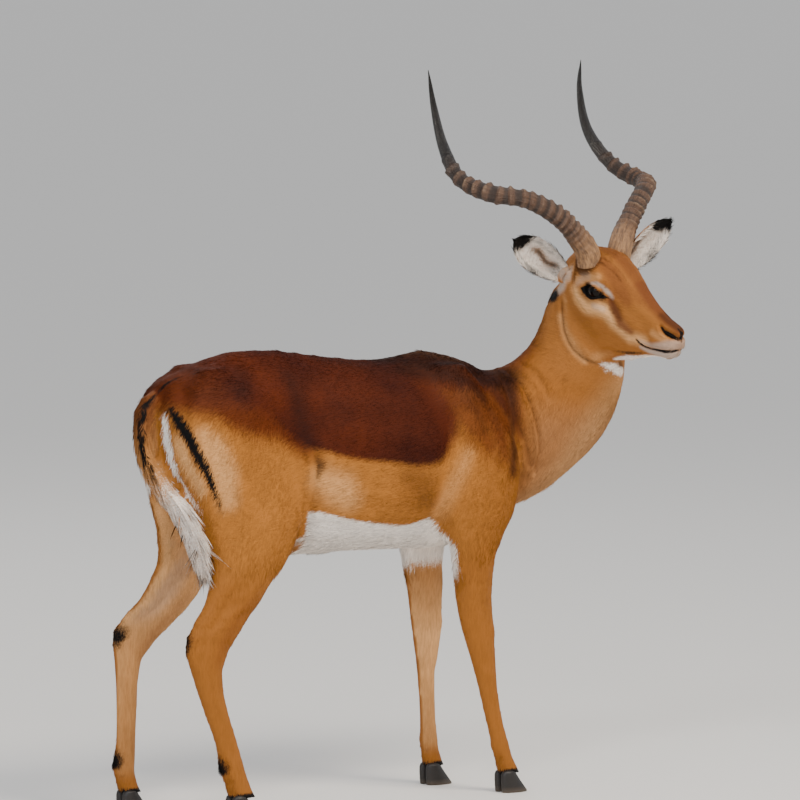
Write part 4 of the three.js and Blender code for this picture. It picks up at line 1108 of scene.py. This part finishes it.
# At each height from the ground up: middle ahead of the heel, reach back, front, out and in.
CLAW_SECTIONS = ([0, 2, 10, 24, 34, 40, 44], [
    (28, 24, 33, 12, 10), (28, 25, 34, 12.4, 10.4), (26, 24, 29.5, 12.2, 10.2), (22, 21, 22, 11.4, 9.9),
    (19, 18, 17.5, 10.6, 9.4), (18, 15, 14.5, 9.6, 8.8), (16, 8, 8, 5, 4)])
hoof_horn = bpy.data.materials.new("hoof_horn")
hoof_horn.use_nodes = True
tree = hoof_horn.node_tree
shader = tree.nodes["Principled BSDF"]
object_at = node(tree, "TexCoord").outputs["Object"]
growth_at = node(tree, "Mapping", [(object_at, "Vector")], vector_type="TEXTURE", i3=(0.05, 0.05, 0.004))
growth = node(tree, "TexNoise", [(growth_at.outputs[0], "Vector")], i2=1, i3=3).outputs["Fac"]
scuffs = node(tree, "TexNoise", [(object_at, "Vector")], i2=1 / SCUFF, i3=4, i4=0.7).outputs["Fac"]
hoof_colour = node(tree, "Mix", [(scuffs, 0)], data_type="RGBA", i6=from_hex("0A0807"), i7=from_hex("2A231E"))
height = node(tree, "SeparateXYZ", [(object_at, 0)]).outputs[2]
dusty = node(tree, "MapRange", [(height, 0)], i1=0.012, i2=0.0, i4=0.45).outputs[0]
dusted = node(tree, "Mix", [(dusty, 0), (hoof_colour.outputs[2], 6)], data_type="RGBA", i7=from_hex("6B5A48"))
tree.links.new(dusted.outputs[2], shader.inputs["Base Color"])
tree.links.new(node(tree, "MapRange", [(scuffs, 0)], i3=0.3, i4=0.65).outputs[0], shader.inputs["Roughness"])
ridges = node(tree, "Math", [(scuffs, 0), (growth, 2)], operation="MULTIPLY_ADD", i1=0.5).outputs[0]
ringed = node(tree, "Bump", [(ridges, "Height")], i0=0.5, i1=0.0012)
tree.links.new(ringed.outputs[0], shader.inputs["Normal"])


def claw_place(foot, heel, inside):
    """Where each point of a claw's tube goes."""
    outward = math.copysign(1, inside)

    def place(share, angle):
        z = HOOF_HEIGHT * share
        ahead, back, front, out, inn = (
            np.interp(z, CLAW_SECTIONS[0], [s[i] for s in CLAW_SECTIONS[1]]) for i in range(5))
        c, s = math.cos(angle), math.sin(angle)
        reach = front if c > 0 else back
        toe = 1 - 0.12 * max(c, 0) ** 3
        width = (out if s > 0 else inn) * (1 - 0.32 * max(c, 0) ** 2)
        across = foot + inside * CLAW_FROM_MIDDLE + outward * s * width
        return heel + ahead + c * reach * toe * 1.06, across, z

    return place


for foot_name, (middle_y, heel) in FEET.items():
    for inside in (1, -1):
        which = "outer" if inside * middle_y > 0 else "inner"
        claw = tube(f"claw_{foot_name}_{which}", 22, 30, claw_place(middle_y, heel, inside))
        for polygon in claw.data.polygons:
            polygon.use_smooth = abs(polygon.normal.z) < 0.9
        claw.data.materials.append(hoof_horn)
        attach(claw, "root")
        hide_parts(f"hoof_{foot_name}_{which}")

# ---- The coat ------------------------------------------------------------------------------------------
# Short flat summer hair over the whole hide, laid from nose to tail and down the legs, with longer hair
# on the tail, in the ears, along the belly and over the scent glands above the hind fetlocks. Every tuft
# is a thin closed sliver that starts just under the skin, takes the marks of its root and lies along its
# neighbours.
TUFT_SUNK = 0.7  # mm
PATCH = 0.003  # size of a tuft's patch on its map
hide.data.calc_loop_triangles()
corners = np.empty(len(hide.data.loop_triangles) * 3, np.int32)
hide.data.loop_triangles.foreach_get("vertices", corners)
corners = corners.reshape(-1, 3)
at, facing = places_of(hide.data), normals_of(hide.data)
edge_one, edge_two = at[corners[:, 1]] - at[corners[:, 0]], at[corners[:, 2]] - at[corners[:, 0]]
areas = np.linalg.norm(np.cross(edge_one, edge_two), axis=1) / 2

down = np.array([0.0, 0.0, -1.0])
lie = np.tile([-1.0, 0.0, -0.16], (len(at), 1))
steep = np.maximum(ramp(170, 230, x), ramp(-120, -190, x) * ramp(830, 740, z))
lie += steep[:, None] * (np.array([-0.45, 0, -1.0]) - lie)
lie += ramp(520, 440, z)[:, None] * (np.array([-0.12, 0, -1.0]) - lie)
neck_down = np.array([-0.45, 0.12, -0.9])
lie += (ramp(330, 430, x) * (1 - on_head))[:, None] * (neck_down - lie)
head_back = np.stack([np.full(len(at), -1.0), 0.25 * np.sign(raw[:, 1]) * ramp(60, 0, raw[:, 0]),
                      np.where(raw[:, 2] > 10, 0.25, -0.3)], 1) @ head_turn.T
lie += on_head[:, None] * (head_back - lie)
for ear in EARS.values():
    mine = on_ear & (np.sign(raw[:, 1]) == np.sign(ear["root"][1]))
    along, opening, across = ear_axes(ear)
    offset = raw[mine] - np.array(ear["root"])
    inward = -np.sign(offset @ across)[:, None] * across * ramp(0.3, 0.9, ear_edge[mine])[:, None] * 0.8
    lie[mine] = (along + inward * ear_inside[mine][:, None]) @ head_turn.T
tail_run = np.gradient(np.array(TAIL_LINE, float), axis=0)
nearest = np.argmin(np.linalg.norm(at[:, None, :] - np.array(TAIL_LINE, float)[None], axis=2), axis=1)
lie[on_tail] = tail_run[nearest[on_tail]]


def straight(vectors):
    """Vectors made one unit long."""
    return vectors / np.maximum(np.linalg.norm(vectors, axis=1), 1e-9)[:, None]


lie = straight(lie - np.sum(lie * facing, axis=1)[:, None] * facing)


def scatter(count, wanted, seed):
    """Random roots on the hide, denser where wanted is high: triangle numbers and shares of their corners."""
    draw = np.random.default_rng(seed)
    chance = areas * wanted[corners].mean(1)
    chosen = draw.choice(len(corners), count, p=chance / chance.sum())
    a, b = draw.random((2, count))
    over = a + b > 1
    a, b = np.where(over, 1 - a, a), np.where(over, 1 - b, b)
    return chosen, np.stack([1 - a - b, a, b], 1), draw


def at_roots(values, roots):
    """The hide's values at some roots."""
    values = values[corners[roots[0]]]
    shares = roots[1]
    return (values * (shares[..., None] if values.ndim == 3 else shares)).sum(1)


def wrap_chart(places, start, end, up):
    """Unrolls the hide round an axis: how far along it each place is, and how far round."""
    start, end, up = (np.array(v, float) for v in (start, end, up))
    axis = end - start
    length = np.linalg.norm(axis)
    axis /= length
    up = up - up @ axis * axis
    up /= np.linalg.norm(up)
    offset = places - start
    round_it = np.arctan2(offset @ np.cross(axis, up), offset @ up) / (2 * math.pi) + 0.5
    return np.stack([(offset @ axis / length).clip(0, 1), round_it], 1)


def tufts(name, roots, chart, length, width, lift,
          rings=1, flow=None, hang=0.0, spread=0.16, flat=0.35):
    """Makes a coat piece. Length may differ from root to root; flow replaces the lie; hang lets tips drop."""
    chosen, shares, draw = roots
    count = len(chosen)
    root, normal = at_roots(at, roots), straight(at_roots(facing, roots))
    along = straight(at_roots(lie, roots)) if flow is None else straight(flow)
    side = straight(np.cross(along, normal))
    turn = draw.normal(0, spread, count)[:, None]
    along = straight(along * np.cos(turn) + side * np.sin(turn))
    side = straight(np.cross(along, normal))
    length = np.broadcast_to(length, count) * draw.uniform(0.75, 1.2, count)
    width = np.broadcast_to(width, count) * draw.uniform(0.8, 1.2, count)
    rise = lift * draw.uniform(0.5, 1.5, count)
    centre, spots, tip_share = root - normal * TUFT_SUNK, [], []
    for ring in range(rings + 1):
        share = ring / rings
        if ring:
            tilt = (rise * (1.35 - 1.1 * share if rings > 1 else 1.0))[:, None]
            direction = along * np.cos(tilt) + normal * np.sin(tilt) + hang * share * down
            centre = centre + straight(direction) * (length / rings)[:, None]
        if ring == rings:
            spots.append(centre[:, None])
        else:
            half = (width / 2 * (1 - share) ** 0.6)[:, None]
            ridge = centre + normal * half * 2 * flat
            spots.append(np.stack([centre - side * half, centre + side * half, ridge], 1))
        tip_share += [share] * (1 if ring == rings else 3)
    spots = np.concatenate(spots, 1)
    each = spots.shape[1]
    faces = [(0, 1, 2)]
    for ring in range(rings - 1):
        a = ring * 3
        for i, j in ((0, 2), (2, 1), (1, 0)):
            faces += [(a + i, a + j, a + 3 + i), (a + j, a + 3 + j, a + 3 + i)]
    a = (rings - 1) * 3
    faces += [(a, a + 2, each - 1), (a + 2, a + 1, each - 1), (a + 1, a, each - 1)]
    faces = (np.array(faces)[None] + (np.arange(count) * each)[:, None, None]).reshape(-1)
    data = bpy.data.meshes.new(name)
    data.vertices.add(count * each)
    data.vertices.foreach_set("co", body_to_world(spots.reshape(-1, 3)).ravel())
    data.loops.add(len(faces))
    data.loops.foreach_set("vertex_index", faces.astype(np.int32))
    data.polygons.add(len(faces) // 3)
    data.polygons.foreach_set("loop_start", np.arange(0, len(faces), 3, dtype=np.int32))
    data.polygons.foreach_set("use_smooth", np.ones(len(faces) // 3, bool))
    data.update(calc_edges=True)
    unrolled = 0.02 + 0.955 * chart(root)
    patch = np.zeros((each, 2))
    patch[:, 0] = np.array(tip_share) * PATCH
    patch[:, 1] = [(0, PATCH, PATCH / 2)[i % 3] for i in range(each)]
    spread_out = (unrolled[:, None] + patch[None]).reshape(-1, 2)
    uv = data.uv_layers.new(name="OFBake")
    uv.data.foreach_set("uv", spread_out[faces].ravel())
    for key, values in marks.items():
        layer = data.attributes.new(key, "FLOAT", "POINT")
        layer.data.foreach_set("value", np.repeat(at_roots(values, roots), each).astype(np.float32))
    tone = data.attributes.new("tone", "FLOAT", "POINT")
    tone.data.foreach_set("value", np.repeat(draw.uniform(-1, 1, count), each).astype(np.float32))
    sideways = np.array([(-1, 1, 0)[i % 3] if i < each - 1 else 0 for i in range(each)])
    leaning = normal[:, None] + 0.22 * sideways[None, :, None] * side[:, None]
    data.normals_split_custom_set_from_vertices(straight(leaning.reshape(-1, 3)))
    piece = bpy.data.objects.new(name, data)
    bpy.context.scene.collection.objects.link(piece)
    data.materials.append(coat)
    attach(piece, "root")


# Each chart unrolls one part of the hide on to the square that its tufts' patches lie on.
def trunk_chart(places):
    return wrap_chart(places, (-440, 0, 690), (420, 0, 690), (0, 0, -1))


def neck_chart(places):
    return wrap_chart(places, (300, 0, 660), (553, -74, 1000), (1, 0, -0.5))


def head_chart(places):
    return wrap_chart(body_to_head(places), (-110, 0, -50), (210, 0, -60), (0, 0, -1))


def leg_chart(places):
    hind, left = places[:, 0] < -80, places[:, 1] > 0
    chart = np.zeros((len(places), 2))
    quarter = hind * 2 + left
    for i, (foot, (middle_y, heel)) in enumerate(
            sorted(FEET.items(), key=lambda f: (f[0].startswith("hind"), f[0].endswith("left")))):
        own = quarter == i
        lean = (heel + 20, middle_y * 0.95, 0)
        top = (heel + 20 - (30 if foot == "front_right" else 0), middle_y * 0.95, 560)
        chart[own] = wrap_chart(places[own], lean, top, (-1, 0, 0)) * (1, 0.235) + (0, 0.25 * i)
    return chart


def ear_chart(places):
    local_places = body_to_head(places)
    chart = np.zeros((len(places), 2))
    for i, ear in enumerate(EARS.values()):
        own = np.sign(local_places[:, 1]) == np.sign(ear["root"][1])
        along, opening, across = ear_axes(ear)
        root = np.array(ear["root"])
        leaf = wrap_chart(local_places[own], root, root + along * EAR_LENGTH, opening)
        chart[own] = leaf * (1, 0.48) + (0, 0.5 * i)
    return chart


def tail_chart(places):
    return wrap_chart(places, (-400, -10, 830), (-370, -60, 480), (1, 0, 0))


free = ~on_ear & ~on_tail & (z > 44)
trunk_wanted = free * (1 - on_head) * ramp(400, 330, x) * ramp(455, 500, z)
hair_long = 13 + 5 * ramp(560, 500, z) + 3 * ramp(820, 870, z)
for name, side in (("left", 1), ("right", -1)):
    roots = scatter(44000, trunk_wanted * (at[:, 1] * side > 0), 10 + side)
    tufts("coat_flank_" + name, roots, trunk_chart, at_roots(hair_long, roots), 2.3, 0.1)
neck_wanted = free * (1 - on_head) * ramp(330, 400, x) * ramp(455, 500, z)
roots = scatter(40000, neck_wanted, 21)
tufts("coat_neck", roots, neck_chart, 13, 2.1, 0.1)
leg_wanted = free * ramp(500, 455, z) * (z > 52)
roots = scatter(40000, leg_wanted, 22)
tufts("coat_legs", roots, leg_chart, at_roots(6.0 + 4 * ramp(200, 440, z), roots), 1.6, 0.09)
bare = np.maximum.reduce([
    near(local, NOSTRIL, 5), near(local, PHILTRUM, 4), near(local, MOUTH, 4),
    1.0 * (opening_edge(local) < 1.5) * (np.linalg.norm(local - EYE_SOCKET, axis=1) < SOCKET_REACH - 2),
])
muzzle = ramp(90, 170, raw[:, 0])
face_wanted = free * on_head * (bare < 0.4) * (1 + 0.8 * muzzle)
roots = scatter(44000, face_wanted, 23)
tufts("coat_face", roots, head_chart, at_roots(7.0 - 3.4 * muzzle, roots), 1.15, 0.1)
roots = scatter(20000, on_ear * (1 - 0.55 * ear_inside), 24)
tufts("coat_ears", roots, ear_chart, at_roots(6 + 4 * ear_inside, roots), 1.2, 0.1)

# Long hair: the tail, the fringes inside the ears, and the tufts where the coat breaks the form.
tail_wanted = on_tail * ramp(800, 740, z) * (0.25 + ramp(760, 620, z))
roots = scatter(3000, tail_wanted, 31)
tail_long = at_roots(30 + 34 * ramp(760, 600, z), roots)
tufts("tail_hair", roots, tail_chart, tail_long, 3.4, 0.16,
      rings=4, hang=0.25, spread=0.11, flat=0.3)
roots = scatter(7000, on_tail * ramp(830, 790, z), 32)
tufts("tail_cover", roots, tail_chart, 20, 2.4, 0.1, rings=2, spread=0.2)
roots = scatter(2600, on_ear * ear_inside * ramp(0.55, 0.95, ear_edge) * ramp(0.04, 0.2, ear_share), 33)
tufts("ear_fringe", roots, ear_chart, 17, 1.3, 0.28, rings=3, spread=0.3)
fringe = np.maximum.reduce([
    near(both, [(-160, 10, 512), (0, 6, 489), (200, 6, 484)], 30) * 0.6,
    near(both, [(200, 100, 560), (225, 92, 500), (236, 88, 440)], 16),
    near(both, [(-95, 60, 520), (-100, 96, 590)], 14),
    near(both, [(-404, 40, 790), (-398, 60, 700), (-376, 80, 650), (-350, 96, 600), (-335, 90, 540)], 16),
    near(at, [(300, 0, 500), (400, 0, 530), (470, -15, 600), (520, -40, 700)], 26) * 0.5,
    near(at, [(400, -6, 834), (455, -10, 870), (480, -20, 930), (495, -40, 1010)], 15),
])
roots = scatter(9000, free * (1 - on_head) * fringe, 34)
tufts("coat_fringes", roots, trunk_chart, 20, 2.0, 0.22, rings=2, hang=0.15, spread=0.22)
hind_leg = (x < -80) & (z < 420)
gland_hair = hind_leg * np.exp(-((z - 110) / 16) ** 2) * ramp(0.4, 0.12, leg_ahead)
pastern = (z < 78) * (z > 46) * ramp(0.45, 0.1, leg_ahead) * 0.5
hock = hind_leg * np.exp(-((z - 345) / 18) ** 2) * ramp(0.25, 0.05, leg_ahead) * ramp(0.9, 0.5, leg_out)
roots = scatter(2600, free * (gland_hair + hock + pastern), 35)
gland_long = at_roots(8 + 10 * gland_hair.clip(0, 1), roots)
tufts("leg_tufts", roots, leg_chart, gland_long, 1.8, 0.3, rings=3, hang=0.2)
crown = on_head * near(local, [(-40, 0, 66), (-20, 20, 68), (-24, 42, 60)], 26)
roots = scatter(3600, free * crown, 36)
tufts("crown_tufts", roots, head_chart, 13, 1.4, 0.26, rings=2, spread=0.35)
lash_line = (np.abs(opening_edge(local) - 0.6) < 1.3) * (local[:, 2] > -4) * (local[:, 1] > 45)
roots = scatter(150, on_head * lash_line, 37)
outwards = at_roots(facing, roots) + np.array([0, 0, 0.25]) + 0.5 * (head_turn @ np.array([-0.5, 0, 0]))
tufts("eyelashes", roots, head_chart, 10, 0.7, 0.9, rings=3, flow=outwards, hang=0.2, spread=0.2)
